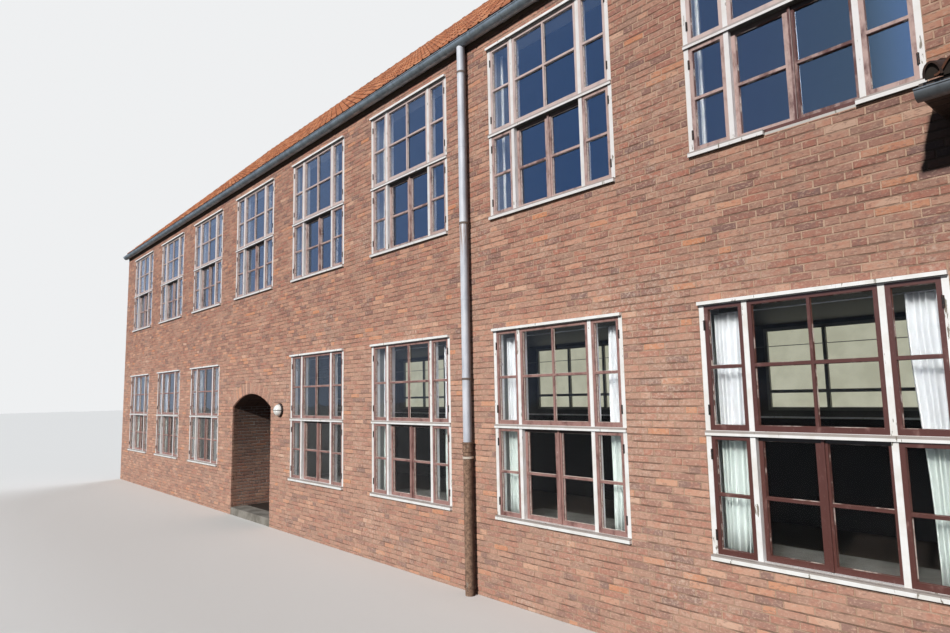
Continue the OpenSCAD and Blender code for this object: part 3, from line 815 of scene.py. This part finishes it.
# Towards the right end the panes get an ever brighter painted reflection of the sky, and the last
# ones, with a raised IOR, the strongest.
across = position(sky_glass)["X"]
shader = main_shader(sky_glass)
plug(shader.inputs["Specular Tint"], ramp(fade(across, 5.0, 10.0), (0.2, 139, 188, 250),
    (0.6, 181, 208, 250), (0.78, 204, 234, 255), (0.84, 174, 208, 255)))
for name, plain_value, high_value in (("Specular IOR Level", 0.5, 1.0), ("IOR", 1.95, 3.0)):
    plug(shader.inputs[name], fade(across, 8.85, 9.15, plain_value, high_value))
window_glass = make_glass("glass behind bushes", rgb(244, 244, 244), rgb(90, 96, 104), ior=1.45)
paint_nodes(sky_glass, "glass_front_upper")
paint_nodes(window_glass, "glass_front_lower", "glass_back")

# Curtains
# Thin white cotton curtains drawn back to the sides, gathered on a steel rail behind the glass.
curtain_flat_w, folds = 0.76, 6
fold_columns, curtain_rows = 72, 8
curtain_t = 0.0015
rail_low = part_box("curtain_rails")[0]
curtain_low, curtain_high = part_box("curtains")
curtain_in = curtain_low.x - rail_low.x
curtain_w = 0.300
curtain_mid_y = (curtain_low.y + curtain_high.y) / 2
curtain_l = curtain_high.z - curtain_low.z
ratio = curtain_w / curtain_flat_w
fold_depth = curtain_flat_w / (2 * math.pi * folds) * math.sqrt(2 * (1 - ratio ** 2))

cotton = new_material("thin white cotton", roughness=0.9, sheen_weight=0.3)
here = node(cotton, "TexCoord").outputs["UV"]
weave = noise(node(cotton, "Mapping", {"Vector": here, "Scale": (1, 6, 1)}), 90, 3, 0.5)
stains = noise(place(cotton), 5, 4)
faded = mix(band(stains, 0.45, 0.8), rgb(206, 211, 216), rgb(188, 191, 194))
x, y, z = position(cotton)
# The curtains of the window right of the porch are painted dark in patches, as shade.
curtain_shade = times(near(x, bay_x[porch_bay + 1], 1.1),
    band(noise(place(cotton, (1, 1, 0.06)), 26, 3), 0.28, 0.5))
faded = mix(below(z, sill_z + row_mid), faded, rgb(184, 198, 194), 0.8)
set_look(cotton, mix(curtain_shade, faded, rgb(44, 54, 64), 0.9), height=weave, strength=0.3, depth=0.001)
show(cotton, node(cotton, "MixShader", {0: 0.15, 1: main_shader(cotton),
    2: node(cotton, "BsdfTranslucent", {"Color": rgb(240, 238, 230)})}))


def hang_curtain(name, middle_x, side, tie):
    """A gathered curtain beside one post. Tie is how far its foot is drawn towards the post."""
    bpy.ops.object.select_all(action="DESELECT")
    bpy.ops.mesh.primitive_grid_add(x_subdivisions=fold_columns, y_subdivisions=curtain_rows, size=1)
    curtain = bpy.context.object
    curtain.name = curtain.data.name = name
    phase, slow = dice.uniform(0, 6.28), dice.uniform(0, 6.28)
    outer = middle_x + side * (window_w / 2 - curtain_in)
    for vertex in curtain.data.vertices:
        s, up = vertex.co.x + 0.5, vertex.co.y + 0.5
        along = 2 * math.pi * folds * (s + 0.05 * math.sin(9 * s + slow))
        along += phase + 0.35 * math.sin(2.2 * up + slow)
        wave = math.sin(along) + 0.22 * math.sin(2 * along + 1.0)
        drawn = 1 - tie * (1 - up) ** 1.5
        inward = s * curtain_w * drawn + 0.016 * s * math.sin(5 * up + slow + 3 * s) * (1 - up ** 4)
        vertex.co = (outer - side * inward, curtain_mid_y + fold_depth * wave * (0.85 + 0.15 * up),
            curtain_low.z + up * curtain_l)
    if side > 0:
        work(curtain, any_face, bpy.ops.mesh.flip_normals)
    apply_modifier(curtain, "SOLIDIFY", thickness=curtain_t, offset=0)
    bpy.ops.object.shade_smooth()
    dress(curtain, cotton)
    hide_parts("curtains")


for i in front_rows[0][0]:
    for side, word in ((-1, "left"), (1, "right")):
        spread = dice.uniform(0.05, 0.35)
        tie = -0.12 if (i, side) == (canopy_bay - 2, 1) else spread
        hang_curtain(f"curtain_{i + 1}_{word}", bay_x[i], side, tie)
rail_metal = new_material("galvanised rail", metallic=0.9, roughness=0.4)
set_look(rail_metal, mix(noise(place(rail_metal), 40), rgb(170, 172, 174), rgb(120, 122, 124)))
paint_nodes(rail_metal, "curtain_rails")

# Rooms
# What shows through the glass: board floors, a plastered corridor wall with high lights of obscured
# glass in dark frames, and deep painted boards behind the ground floor windows.
boards = new_material("worn floor boards", roughness=0.6)
grain = noise(place(boards, (0.4, 9, 1)), 14, 5, 0.6)
board_tone = node(boards, "TexBrick", {"Vector": place(boards), "Color1": rgb(58, 48, 40),
    "Color2": rgb(44, 37, 31), "Mortar": rgb(28, 22, 18), "Scale": 1.0, "Mortar Size": 0.004,
    "Brick Width": 2.4, "Row Height": 0.14})
set_look(boards, mix(grain, board_tone, rgb(36, 31, 27), 0.6), height=grain, strength=0.3, depth=0.001)
paint_nodes(boards, "ground_floor", "first_floor", "attic_floor")

picture_rail_z = 1.908
plaster = new_material("smoked plaster", roughness=0.85)
here = place(plaster)
smoke = band(noise(here, 1.6, 4))
smoked = mix(smoke, rgb(96, 96, 92), rgb(76, 76, 73))
dado = below(position(plaster)["Z"], picture_rail_z)
set_look(plaster, mix(dado, smoked, rgb(34, 34, 36)), height=noise(here, 90, 4), strength=0.3, depth=0.002)
paint_nodes(plaster, "corridor_wall")

dark_paint = two_tone("grey joinery paint", (22, 4), None, (120, 120, 112), (136, 134, 126), (200, 3), 0.2,
    0.0005, roughness=0.45)
paint_nodes(dark_paint, "corridor_light_frames")

# A dark blind rail runs across the panes, and a pale picture rail under them.
wall_low, wall_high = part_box("corridor_wall")
for name, middle, height, out, paint, slot in (
        ("corridor_blind_rail", 3.123, 0.012, 0.020, dark_paint, "dark_paint"),
        ("corridor_picture_rail", picture_rail_z, 0.030, 0.022, white_paint, "white_paint")):
    rail = add_box(name, (wall_low.x + 0.02, wall_low.y - out, middle - height / 2),
        (wall_high.x - 0.02, wall_low.y + 0.002, middle + height / 2))
    dress(round_edges(rail, 0.004, 2), paint)

# The obscured panes glow with painted daylight from the corridor, though they are no lamp.
obscured = new_material("obscured glass", roughness=0.5, emission_strength=0.72)
here = place(obscured)
painted_glow = mix(band(noise(here, 2.6, 3), 0.3, 0.7), rgb(208, 208, 186), rgb(193, 193, 170))
# The panes at the corridor's left end are painted dark, as shade.
dark_end_x = (bay_x[0] + bay_x[1]) / 2 + bay
painted_glow = mix(below(position(obscured)["X"], dark_end_x), painted_glow, rgb(26, 28, 28))
set_look(obscured, painted_glow, height=noise(here, 180, 2), strength=0.5, depth=0.002)
plug(main_shader(obscured).inputs["Emission Color"], painted_glow)
paint_nodes(obscured, "corridor_light_panes")

# White boards line the reveals of the upper windows.
lining_at, lining_in, lining_w, lining_t = 0.232, 0.018, 0.034, 0.020
lining = add_box("lining", (0, -lining_t, 0.052), (lining_w, 0, window_h - 0.038))
round_edges(lining, 0.003, 2)
linings = window_spots(range(bays - 1), 1, 0, [(-window_w / 2 + lining_in, lining_at, 0),
    (window_w / 2 - lining_in - lining_w, lining_at, 0)])
clean_white = two_tone("clean white paint", (20, 4), None, (250, 250, 248), (236, 236, 232), (90, 3), 0.2,
    0.0005, roughness=0.4)
dress(lay(lining, "reveal_linings", linings), clean_white)

grey_paint = two_tone("dusty grey board paint", (8, 5), (0.35, 0.7), (96, 97, 96), (76, 76, 74), (120, 3),
    0.2, 0.0006, roughness=0.5)
paint_nodes(grey_paint, "inner_window_boards", "board_brackets")

# Roof
# Orange-red clay pantiles hung dry in straight courses, each roll lapping the tile to its right, over
# a boarded deck. Half-round ridge tiles are bedded in mortar along the top.
pitch = math.atan(roof_slope)
deck_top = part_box("roof_deck_front")[1].z
tiles_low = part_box("roof_tiles_front")[0]
slope_l = (deck_top - tiles_low.z) / math.sin(pitch) - 0.045
tile_columns = round(2 * end / 0.202)
tile_w = 2 * end / tile_columns
tile_rows = 21
gauge = (slope_l - 0.09) / tile_rows
tile_l, tile_t = gauge + 0.065, 0.013
trough_z, roll_z, nose_lift = 0.012, 0.050, 0.020
first_u, last_u = -0.40, 0.73
tile_wander, tile_turn, tile_lean = 0.0022, 0.007, 0.006


def roll(u, height, trough):
    """Height of the tile over its deck, with the roll's crest at u = 0.5."""
    return trough + height * (1 - math.cos(2 * math.pi * u)) / (2 if u > 0 else 5)


def slide_points(piece, test, by):
    """Moves the points that pass the test."""
    activate(piece)
    bpy.context.tool_settings.mesh_select_mode = (True, False, False)
    for part in (piece.data.edges, piece.data.polygons):
        part.foreach_set("select", [False] * len(part))
    for vertex in piece.data.vertices:
        vertex.select = test(vertex.co)
    bpy.ops.object.mode_set(mode="EDIT")
    bpy.ops.transform.translate(value=by)
    return close(piece)


def model_tile(width, length, height, trough, steps):
    """A pantile with its nose at the origin, its length uphill along y and its face to z."""
    bpy.ops.object.select_all(action="DESELECT")
    bpy.ops.mesh.primitive_grid_add(x_subdivisions=steps, y_subdivisions=1, size=1)
    tile = bpy.context.object
    tile.scale = ((last_u - first_u) * width, length, 1)
    tile.location = ((last_u + first_u) / 2 * width, length / 2, 0)
    settle(tile)
    for step in range(steps + 1):
        u = first_u + (last_u - first_u) * step / steps
        lapped = tile_t if u > 0.55 else 0
        x = u * width
        slide_points(tile, lambda co: abs(co.x - x) < 0.001, (0, 0, roll(u, height, trough) + lapped))
    slide_points(tile, lambda co: co.y < 0.001, (0, 0, nose_lift))
    return apply_modifier(tile, "SOLIDIFY", thickness=tile_t, offset=-1)


def tile_places(columns, rows, width, step, down, x_start, slope_place):
    """Places of the tiles on one slope. The nose of the lowest course is at `down` from the top."""
    places = []
    for row in range(rows):
        for column in range(columns):
            wander = dice.normal(0, tile_wander, 3)
            at = (x_start + (column - first_u) * width + wander[0], -down + row * step + wander[1],
                abs(wander[2]) * 0.6)
            skewed = rotated(dice.normal(0, tile_turn), "Z") @ rotated(dice.normal(0, tile_lean), "X")
            places.append(slope_place @ moved(*at) @ skewed)
    return places


clay = new_material("weathered orange clay", roughness=0.85)
tone = node(clay, "Attribute", attribute_name="tone").outputs["Fac"]
here = place(clay)
fired = ramp(tone, (0.0, 142, 82, 54), (0.35, 170, 102, 66), (0.7, 188, 118, 78), (1.0, 208, 144, 108))
fired = mix(band(noise(here, 9, 5, 0.6), 0.45, 0.75), fired, rgb(150, 88, 64), 0.45)
lichen = times(band(noise(here, 1.3, 3), 0.44, 0.66), band(noise(here, 70, 4, 0.7), 0.54, 0.64))
fired = mix(lichen, fired, rgb(196, 184, 150), 0.75)
# The side laps are painted dark, as shade in the gaps under the rolls and dirt. The two slopes run opposite
# ways.
x, y, z = position(clay)
column = reckon("DIVIDE", scaled(reckon("SIGN", y), times(x, -1.0), end), tile_w)
off_lap = reckon("ABSOLUTE", minus(reckon("FRACT", column), last_u - first_u - 1 + 0.03))
lap_shade_and_dirt = times(below(off_lap, 0.055), above(z, wall_top))
fired = mix(lap_shade_and_dirt, fired, rgb(48, 30, 24), 0.92)
# Faces turned down, the tiles' noses among them, are painted dark as shade.
fired = mix(below(facing(clay)["Z"], -0.15), fired, rgb(52, 34, 27), 0.8)
set_look(clay, fired, height=noise(here, 110, 5, 0.65), strength=0.35, depth=0.002)

front_slope = moved(0, 0, deck_top) @ rotated(pitch, "X")
for name, node_name, slope_place in (("pantiles_front", "roof_tiles_front", front_slope),
        ("pantiles_back", "roof_tiles_back", rotated(half_turn, "Z") @ front_slope)):
    spots = tile_places(tile_columns, tile_rows, tile_w, gauge, slope_l, -end, slope_place)
    tiles = lay(model_tile(tile_w, tile_l, roll_z, trough_z, 7), name, spots)
    dress(tiles, clay)
    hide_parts(node_name)

ridge_low, ridge_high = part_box("ridge_tiles")
ridge_r = (ridge_high.y - ridge_low.y) / 2
ridge_n = round(2 * end / 0.37)
ridge_step = 2 * end / ridge_n
ridge_t = 0.016
rim_w, rim_t = 0.05, 0.009


def cut(piece, through, upward, **sides):
    """Cuts a piece along a plane, and clears away the side that is named."""
    return work(piece, any_face, bpy.ops.mesh.bisect, plane_co=through, plane_no=upward, **sides)


def model_ridge():
    """Half a tube with a thicker rim at its left end, which laps the tile before it."""
    tile = settle(add_tube(20, ridge_r - 0.012, ridge_step + 0.03, "NOTHING", rotation=(0, quarter_turn, 0)))
    cut(tile, (0, 0, 0), (0, 0, 1), clear_inner=True)
    cut(tile, (rim_w - ridge_step / 2, 0, 0), (1, 0, 0))
    apply_modifier(tile, "SOLIDIFY", thickness=ridge_t, offset=-1)
    return work(tile, lambda polygon: polygon.center.x < rim_w - 0.001 - ridge_step / 2
        and Vector((0, polygon.center.y, polygon.center.z)).dot(polygon.normal) > 0.02,
        bpy.ops.mesh.extrude_region_shrink_fatten, TRANSFORM_OT_shrink_fatten={"value": rim_t})


ridge_spots = [moved(-end + (n + 0.5) * ridge_step, 0, ridge_low.z)
    @ rotated(dice.normal(0, 0.006), "Y") for n in range(ridge_n)]
ridge = lay(model_ridge(), "ridge_caps", ridge_spots)
dress(ridge, clay)
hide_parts("ridge_tiles")

timber = new_material("grey roof boards", roughness=0.8)
here = place(timber, (0.3, 6, 6))
grain = noise(here, 16, 5)
set_look(timber, mix(grain, rgb(110, 90, 72), rgb(74, 60, 48)), height=grain, strength=0.4, depth=0.001)
paint_nodes(timber, "roof_deck_front", "roof_deck_back")

# Gutters
# Half-round zinc gutters with a rolled front bead, hung in straps. Each length is soldered to the
# next, and the zinc has dulled to blue-grey with streaks where rain runs over.
zinc = new_material("dulled zinc", metallic=0.55, roughness=0.45)
here = place(zinc)
bloom = band(noise(here, 5, 5, 0.6))
streaks = band(noise(place(zinc, (1, 1, 0.12)), 22, 4), 0.5, 0.72)
patina_and_shade = mix(bloom, rgb(158, 170, 178), rgb(128, 140, 148))
patina_and_shade = mix(streaks, patina_and_shade, rgb(104, 112, 116), 0.5)
x, y, z = position(zinc)
# The canopy's gutter is painted darker, as shade.
patina_and_shade = mix(times(above(x, canopy_foot), below(z, wall_top - 1)), patina_and_shade, rgb(84, 82, 84), 0.6)
set_look(zinc, patina_and_shade, roughness=scaled(bloom, 0.2, 0.36), height=noise(here, 30, 4), strength=0.15,
    depth=0.002)
paint_nodes(zinc, "gutter_front", "gutter_back", "gutter_brackets", "canopy_gutter")

bead_r = 0.009


def add_rod(name, start, finish, radius, sides=12):
    """A round bar between two points, with its ends rounded off."""
    start, finish = Vector(start), Vector(finish)
    along = finish - start
    rod = settle(add_tube(sides, radius, along.length, location=(start + finish) / 2,
        rotation=along.to_track_quat("Z", "Y").to_euler()))
    rod.name = rod.data.name = name
    work(rod, lambda polygon: len(polygon.vertices) > 4, bpy.ops.mesh.inset, thickness=radius * 0.4,
        depth=radius * 0.3)
    bpy.ops.object.shade_smooth_by_angle(angle=math.radians(40))
    return rod


def model_seam(radius):
    """A soldered lap around the outside of a half-round gutter, its rim at z = 0."""
    seam = settle(add_tube(24, radius + 0.0025, 0.02, "NOTHING", rotation=(0, quarter_turn, 0)))
    cut(seam, (0, 0, -0.002), (0, 0, 1), clear_outer=True)
    return apply_modifier(seam, "SOLIDIFY", thickness=0.003, offset=-1)


gutter_low, gutter_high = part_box("gutter_front")
gutter_r = (gutter_high.y - gutter_low.y) / 2
rim_z = gutter_high.z
gutter_y = (gutter_high.y + gutter_low.y) / 2
canopy_low, canopy_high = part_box("canopy_gutter")
beads = [add_rod("bead", (-end, s * gutter_low.y, rim_z), (end, s * gutter_low.y, rim_z), bead_r)
    for s in (1, -1)]
beads.append(add_rod("bead", (canopy_low.x, canopy_low.y, canopy_high.z),
    (canopy_high.x, canopy_low.y, canopy_high.z), bead_r * 0.8))
dress(join(beads, "gutter_beads"), zinc)
seams = [moved(-end + (n + 0.5) * bay + 0.42, s * gutter_y, rim_z)
    for n in range(bays) for s in (1, -1)]
dress(lay(model_seam(gutter_r), "gutter_seams", seams), zinc)

# Downpipes
# Zinc pipes painted pale grey, slipped together in lengths with collars. The front one stands in the
# socket of an old cast iron foot, and rust from a collar's stay has run down it. The side towards the
# wall is painted darker, as shade and grime.
pipe_low, pipe_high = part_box("downpipe_zinc")
pipe_r = (pipe_high.x - pipe_low.x) / 2
pipe_x, pipe_y = (pipe_high.x + pipe_low.x) / 2, (pipe_high.y + pipe_low.y) / 2
collar_z = sill_z + storey_h + 0.039


def wall_side_shade_and_grime(material):
    """How far a round pipe's surface has turned towards its wall, on either side, for painted shade and
    grime.
    """
    towards = times(facing(material)["Y"], reckon("SIGN", position(material)["Y"]))
    return times(fade(towards, 0.75, -0.05), 0.7)


pipe_paint = new_material("chalky grey pipe paint", roughness=0.5)
here = place(pipe_paint)
chalk = mix(band(noise(place(pipe_paint, (1, 1, 0.3)), 9, 5)), rgb(220, 225, 236),
    rgb(192, 199, 212))
drop = minus(collar_z, position(pipe_paint)["Z"])
run_off = times(above(drop, 0.0), fade(drop, 0.02, 0.55, 1.0, 0.0))
drips = band(noise(place(pipe_paint, (1, 1, 0.06)), 60, 3), 0.38, 0.62)
specks = band(noise(here, 85, 4, 0.7), 0.64, 0.7)
stain = most(times(run_off, drips), times(specks, 0.6))
chalk = mix(stain, chalk, rgb(138, 96, 66))
set_look(pipe_paint, mix(wall_side_shade_and_grime(pipe_paint), chalk, rgb(62, 60, 66)), height=noise(here, 60, 4),
    strength=0.2, depth=0.001)
paint_nodes(pipe_paint, "downpipe_zinc", "downpipe_back")

rusty = new_material("rusting cast iron", roughness=0.9)
here = place(rusty)
scale = noise(here, 26, 6, 0.7)
rust = ramp(scale, (0.3, 76, 60, 52), (0.46, 124, 98, 82), (0.6, 162, 132, 112), (0.75, 108, 84, 70))
old_paint = band(noise(place(rusty, (1, 1, 0.4)), 16, 5, 0.7), 0.6, 0.66)
flaked = mix(old_paint, rust, rgb(150, 146, 140), 0.6)
set_look(rusty, mix(wall_side_shade_and_grime(rusty), flaked, rgb(46, 36, 32)), height=scale, strength=0.7, depth=0.003)
paint_nodes(rusty, "downpipe_iron")

sleeve_h, sleeve_t = 0.05, 0.0025
sleeve_step = 1.0


def model_ring(radius, height, thickness, sides=24):
    """A short sleeve around a pipe, turned in at both edges."""
    ring = settle(add_tube(sides, radius + thickness, height, "NOTHING"))
    apply_modifier(ring, "SOLIDIFY", thickness=thickness, offset=-1)
    return apply_modifier(ring, "BEVEL", width=thickness * 0.4, segments=1)


iron_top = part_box("downpipe_iron")[1].z
sleeves = []
for s in (1, -1):
    top = wall_top - 0.35
    while top > 0.3:
        if s < 0 or top > iron_top:
            sleeves.append(moved(s * pipe_x, s * pipe_y, top))
        top -= sleeve_step
dress(lay(model_ring(pipe_r, sleeve_h, sleeve_t), "pipe_sleeves", sleeves), pipe_paint)
collar_paint = new_material("collars rusted above and limewashed at the foot", roughness=0.85)
at_foot = below(position(collar_paint)["Z"], iron_top + 0.3)
worn = noise(place(collar_paint), 40, 5, 0.7)
set_look(collar_paint, mix(at_foot, rgb(116, 104, 98), rgb(206, 196, 184)), height=worn, strength=0.5,
    depth=0.002)
paint_nodes(collar_paint, "pipe_collars")
iron_rings = [moved(pipe_x, pipe_y, z) for z in (iron_top - 0.012, iron_top - 0.11, 0.10)]
dress(lay(model_ring(pipe_r + 0.010, 0.024, 0.006), "iron_rings", iron_rings), rusty)

# Wall lamp
# A round bulkhead lamp beside the porch: a cast base, a white glass bowl, and an iron guard of one
# ring and one bar across.
lamp_low, lamp_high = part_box("wall_lamp")
lamp_x, lamp_z = (lamp_low.x + lamp_high.x) / 2, (lamp_low.z + lamp_high.z) / 2
lamp_r = (lamp_high.x - lamp_low.x) / 2 - 0.008
bowl_base, bowl_front = -face - 0.032, lamp_low.y + 0.004
bowl_r = lamp_r - 0.018


def turned(name, profile, steps=32):
    """A round piece turned from an outline of (distance from the wall, radius), facing -y."""
    bpy.ops.object.select_all(action="DESELECT")
    bpy.ops.mesh.primitive_plane_add(size=0.01)
    piece = bpy.context.object
    piece.name = piece.data.name = name
    work(piece, any_face, bpy.ops.mesh.delete, type="VERT")
    piece.data.vertices.add(len(profile))
    piece.data.edges.add(len(profile) - 1)
    for n, (y, r) in enumerate(profile):
        piece.data.vertices[n].co = (lamp_x, y, lamp_z + r)
    for n in range(len(profile) - 1):
        piece.data.edges[n].vertices = (n, n + 1)
    piece.data.update()
    activate(piece)
    bpy.context.tool_settings.mesh_select_mode = (True, False, False)
    bpy.ops.object.mode_set(mode="EDIT")
    bpy.ops.mesh.select_all(action="SELECT")
    bpy.ops.mesh.spin(steps=steps, angle=2 * math.pi, center=(lamp_x, 0, lamp_z), axis=(0, 1, 0))
    bpy.ops.mesh.select_all(action="SELECT")
    bpy.ops.mesh.remove_doubles(threshold=0.0005)
    bpy.ops.mesh.normals_make_consistent(inside=False)
    close(piece)
    bpy.ops.object.shade_smooth_by_angle(angle=math.radians(35))
    return piece


wall_y = -face + 0.001
base = turned("lamp_base", [(wall_y, 0), (wall_y, lamp_r), (bowl_base + 0.008, lamp_r),
    (bowl_base, lamp_r - 0.008), (bowl_base, bowl_r - 0.008), (bowl_base + 0.012, bowl_r - 0.012),
    (bowl_base + 0.012, 0)])
bowl_outline = [(bowl_base + 0.010, 0), (bowl_base + 0.010, bowl_r)]
for n in range(9):
    angle = n / 8 * math.pi / 2
    bowl_outline.append((bowl_base + (bowl_front - bowl_base) * math.sin(angle), bowl_r * math.cos(angle)))
bowl = turned("lamp_bowl", bowl_outline)
bpy.ops.object.select_all(action="DESELECT")
bpy.ops.mesh.primitive_torus_add(major_radius=bowl_r + 0.004, minor_radius=0.006, major_segments=32,
    minor_segments=8, location=(lamp_x, bowl_base - 0.004, lamp_z), rotation=(quarter_turn, 0, 0))
guard_ring = settle(bpy.context.object)
bpy.ops.object.shade_smooth()
arm = []
for n in range(9):
    angle = math.pi * n / 8
    arm.append((lamp_x + (bowl_r + 0.004) * math.cos(angle),
        bowl_base - 0.004 + (bowl_front - bowl_base) * math.sin(angle), lamp_z))
rods = [add_rod("guard", a, b, 0.0045, 8) for a, b in zip(arm, arm[1:])]
guard = join([guard_ring] + rods, "lamp_guard")
opal = two_tone("opal glass", (12, 4), (0.45, 0.75), (246, 248, 248), (222, 224, 220), (25, 2), 0.05, 0.001,
    roughness=0.18, specular_ior_level=0.6)
dress(base, iron)
dress(guard, iron)
dress(bowl, opal)
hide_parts("wall_lamp")

# Porch
# A worn concrete step runs through the arch to a pair of panelled doors, with an iron lever handle
# and its long plate screwed to the right leaf.
concrete = new_material("worn concrete", roughness=0.9)
here = place(concrete)
stones = noise(here, 130, 5, 0.7)
set_look(concrete, mix(band(noise(here, 4, 5)),
    mix(stones, rgb(168, 164, 156), rgb(128, 124, 118)), rgb(112, 108, 100)), height=stones, strength=0.6,
    depth=0.003)
paint_nodes(concrete, "porch_step")
door_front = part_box("porch_door")[0].y
plate_x, plate_z, plate_half_w, plate_half_h, plate_t = porch_x + 0.056, 1.15, 0.022, 0.120, 0.005
lever_w, lever_r, lever_reach = 0.110, 0.008, 0.046
plate = add_box("plate", (plate_x - plate_half_w, door_front - plate_t, plate_z - plate_half_h),
    (plate_x + plate_half_w, door_front + 0.001, plate_z + plate_half_h))
round_edges(plate, 0.0015, 2)
spindle = settle(add_tube(16, lever_r, lever_reach, rotation=(quarter_turn, 0, 0),
    location=(plate_x, door_front - lever_reach / 2, plate_z + 0.04)))
lever = add_box("lever", (plate_x - lever_r, door_front - lever_reach - lever_r, plate_z + 0.04 - lever_r),
    (plate_x + lever_w, door_front - lever_reach + lever_r / 2, plate_z + 0.04 + lever_r))
round_edges(lever, 0.004, 3, any_face)
dress(join([plate, spindle, lever], "door_handle"), iron)

# Canopy
# A lean-to of pantiles on two board-lined bays at the right end, on three curved brackets. Its boards
# are stained dark, and it drains into a short gutter of its own.
dark_boards = new_material("dark stained boards", roughness=0.6)
here = place(dark_boards, (0.25, 5, 5))
grain = noise(here, 22, 5)
set_look(dark_boards, mix(grain, rgb(66, 54, 46), rgb(42, 34, 30)), height=grain, strength=0.4, depth=0.001)
paint_nodes(dark_boards, "canopy_deck", "canopy_brackets")
deck_low, deck_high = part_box("canopy_deck")
top_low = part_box("canopy_tiles")[0]
canopy_pitch = math.radians(22)
canopy_w = deck_high.x - deck_low.x
canopy_l = (-face - top_low.y) / math.cos(canopy_pitch) - 0.02
canopy_roll, canopy_trough, canopy_lap = 0.085, 0.008, 0.03
canopy_rows, canopy_shift = 2, 0.023
canopy_columns = round(canopy_w / tile_w)
canopy_tile_w = (canopy_w - canopy_shift) / canopy_columns
canopy_slope = moved(0, -face, deck_high.z) @ rotated(canopy_pitch, "X")
canopy_gauge = (canopy_l - canopy_lap) / canopy_rows
spots = tile_places(canopy_columns, canopy_rows, canopy_tile_w, canopy_gauge, canopy_l,
    deck_low.x + canopy_shift, canopy_slope)
canopy_tile = model_tile(canopy_tile_w, canopy_gauge + canopy_lap, canopy_roll, canopy_trough, 18)
canopy_tiles = lay(canopy_tile, "canopy_pantiles", spots)
cut(canopy_tiles, (deck_low.x + 0.10, 0, 0), (1, 0, 0), clear_inner=True, use_fill=True)
dress(canopy_tiles, clay)
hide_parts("canopy_tiles")

# Tall half-round tiles cover both verges, and a dark bedding fills every roll behind its nose.
verge_in, verge_half, verge_h, verge_z = 0.094, 0.056, 0.096, 0.010
verge_lift, bedding_t = 0.014, 0.016


def half_round(half_w, height, length, ends, middle=0):
    """The upper half of a bar or tube along y, taller than round, its foot at z = 0."""
    piece = add_tube(20, 1, length, ends, location=(0, middle, 0), rotation=(quarter_turn, 0, 0))
    piece.scale = (half_w, height, 1)
    return cut(settle(piece), (0, 0, 0), (0, 0, 1), clear_inner=True, use_fill=ends == "NGON")


def model_verge(length):
    """A tall half-round tile with its nose at the origin and its length uphill along y."""
    cover = half_round(verge_half, verge_h, length, "NOTHING", length / 2)
    slide_points(cover, lambda co: co.y < 0.001, (0, 0, verge_lift))
    return apply_modifier(cover, "SOLIDIFY", thickness=tile_t, offset=-1)


verges = [canopy_slope @ moved(x, row * canopy_gauge - canopy_l, verge_z)
    for x in (deck_low.x + verge_in, deck_high.x - verge_in) for row in range(canopy_rows)]
# The verge tiles are given a much darker clay than the other tiles.
dark_verge_clay = two_tone("blackened clay", (16, 5, 0.6), (0.4, 0.7), (46, 34, 32), (74, 54, 46), (80, 5), 0.5, 0.002,
    roughness=0.95)
dress(lay(model_verge(canopy_gauge + canopy_lap), "canopy_verge_tiles", verges), dark_verge_clay)
bedding = two_tone("blackened bedding", (40, 4), None, (34, 29, 26), (52, 44, 38), (90, 4), 0.5, 0.003,
    roughness=0.95)
fillers = [canopy_slope @ moved(deck_low.x + canopy_shift + (n - first_u + 0.5) * canopy_tile_w,
    canopy_lap - canopy_l, canopy_trough) for n in range(canopy_columns)]
arches = lay(half_round(canopy_tile_w * 0.33, canopy_roll + 0.004, bedding_t, "NGON"), "fillers", fillers)
ends = [canopy_slope @ moved(x, canopy_lap - canopy_l, verge_z)
    for x in (deck_low.x + verge_in, deck_high.x - verge_in)]
tall_arch = half_round(verge_half - tile_t / 2, verge_h - tile_t / 2 + 0.010, bedding_t, "NGON")
tall_arches = lay(tall_arch, "fillers", ends)
dress(join([arches, tall_arches], "canopy_bedding"), bedding)

strip_t, strip_n, strip_gap = 0.012, 5, 0.008
strip_w = (deck_high.y - deck_low.y - 2 * strip_gap) / strip_n
strips = []
for n in range(strip_n):
    near_y, far_y = (-face - strip_gap - m * strip_w for m in (n, n + 1))
    strip = add_box("strip", (deck_low.x + 0.01, far_y + 0.006, deck_low.z - strip_t),
        (deck_high.x - 0.01, near_y - 0.002, deck_low.z + 0.002))
    strips.append(round_edges(strip, 0.004, 1, lambda polygon: polygon.normal.z < -0.5))
dress(join(strips, "canopy_lining"), dark_boards)
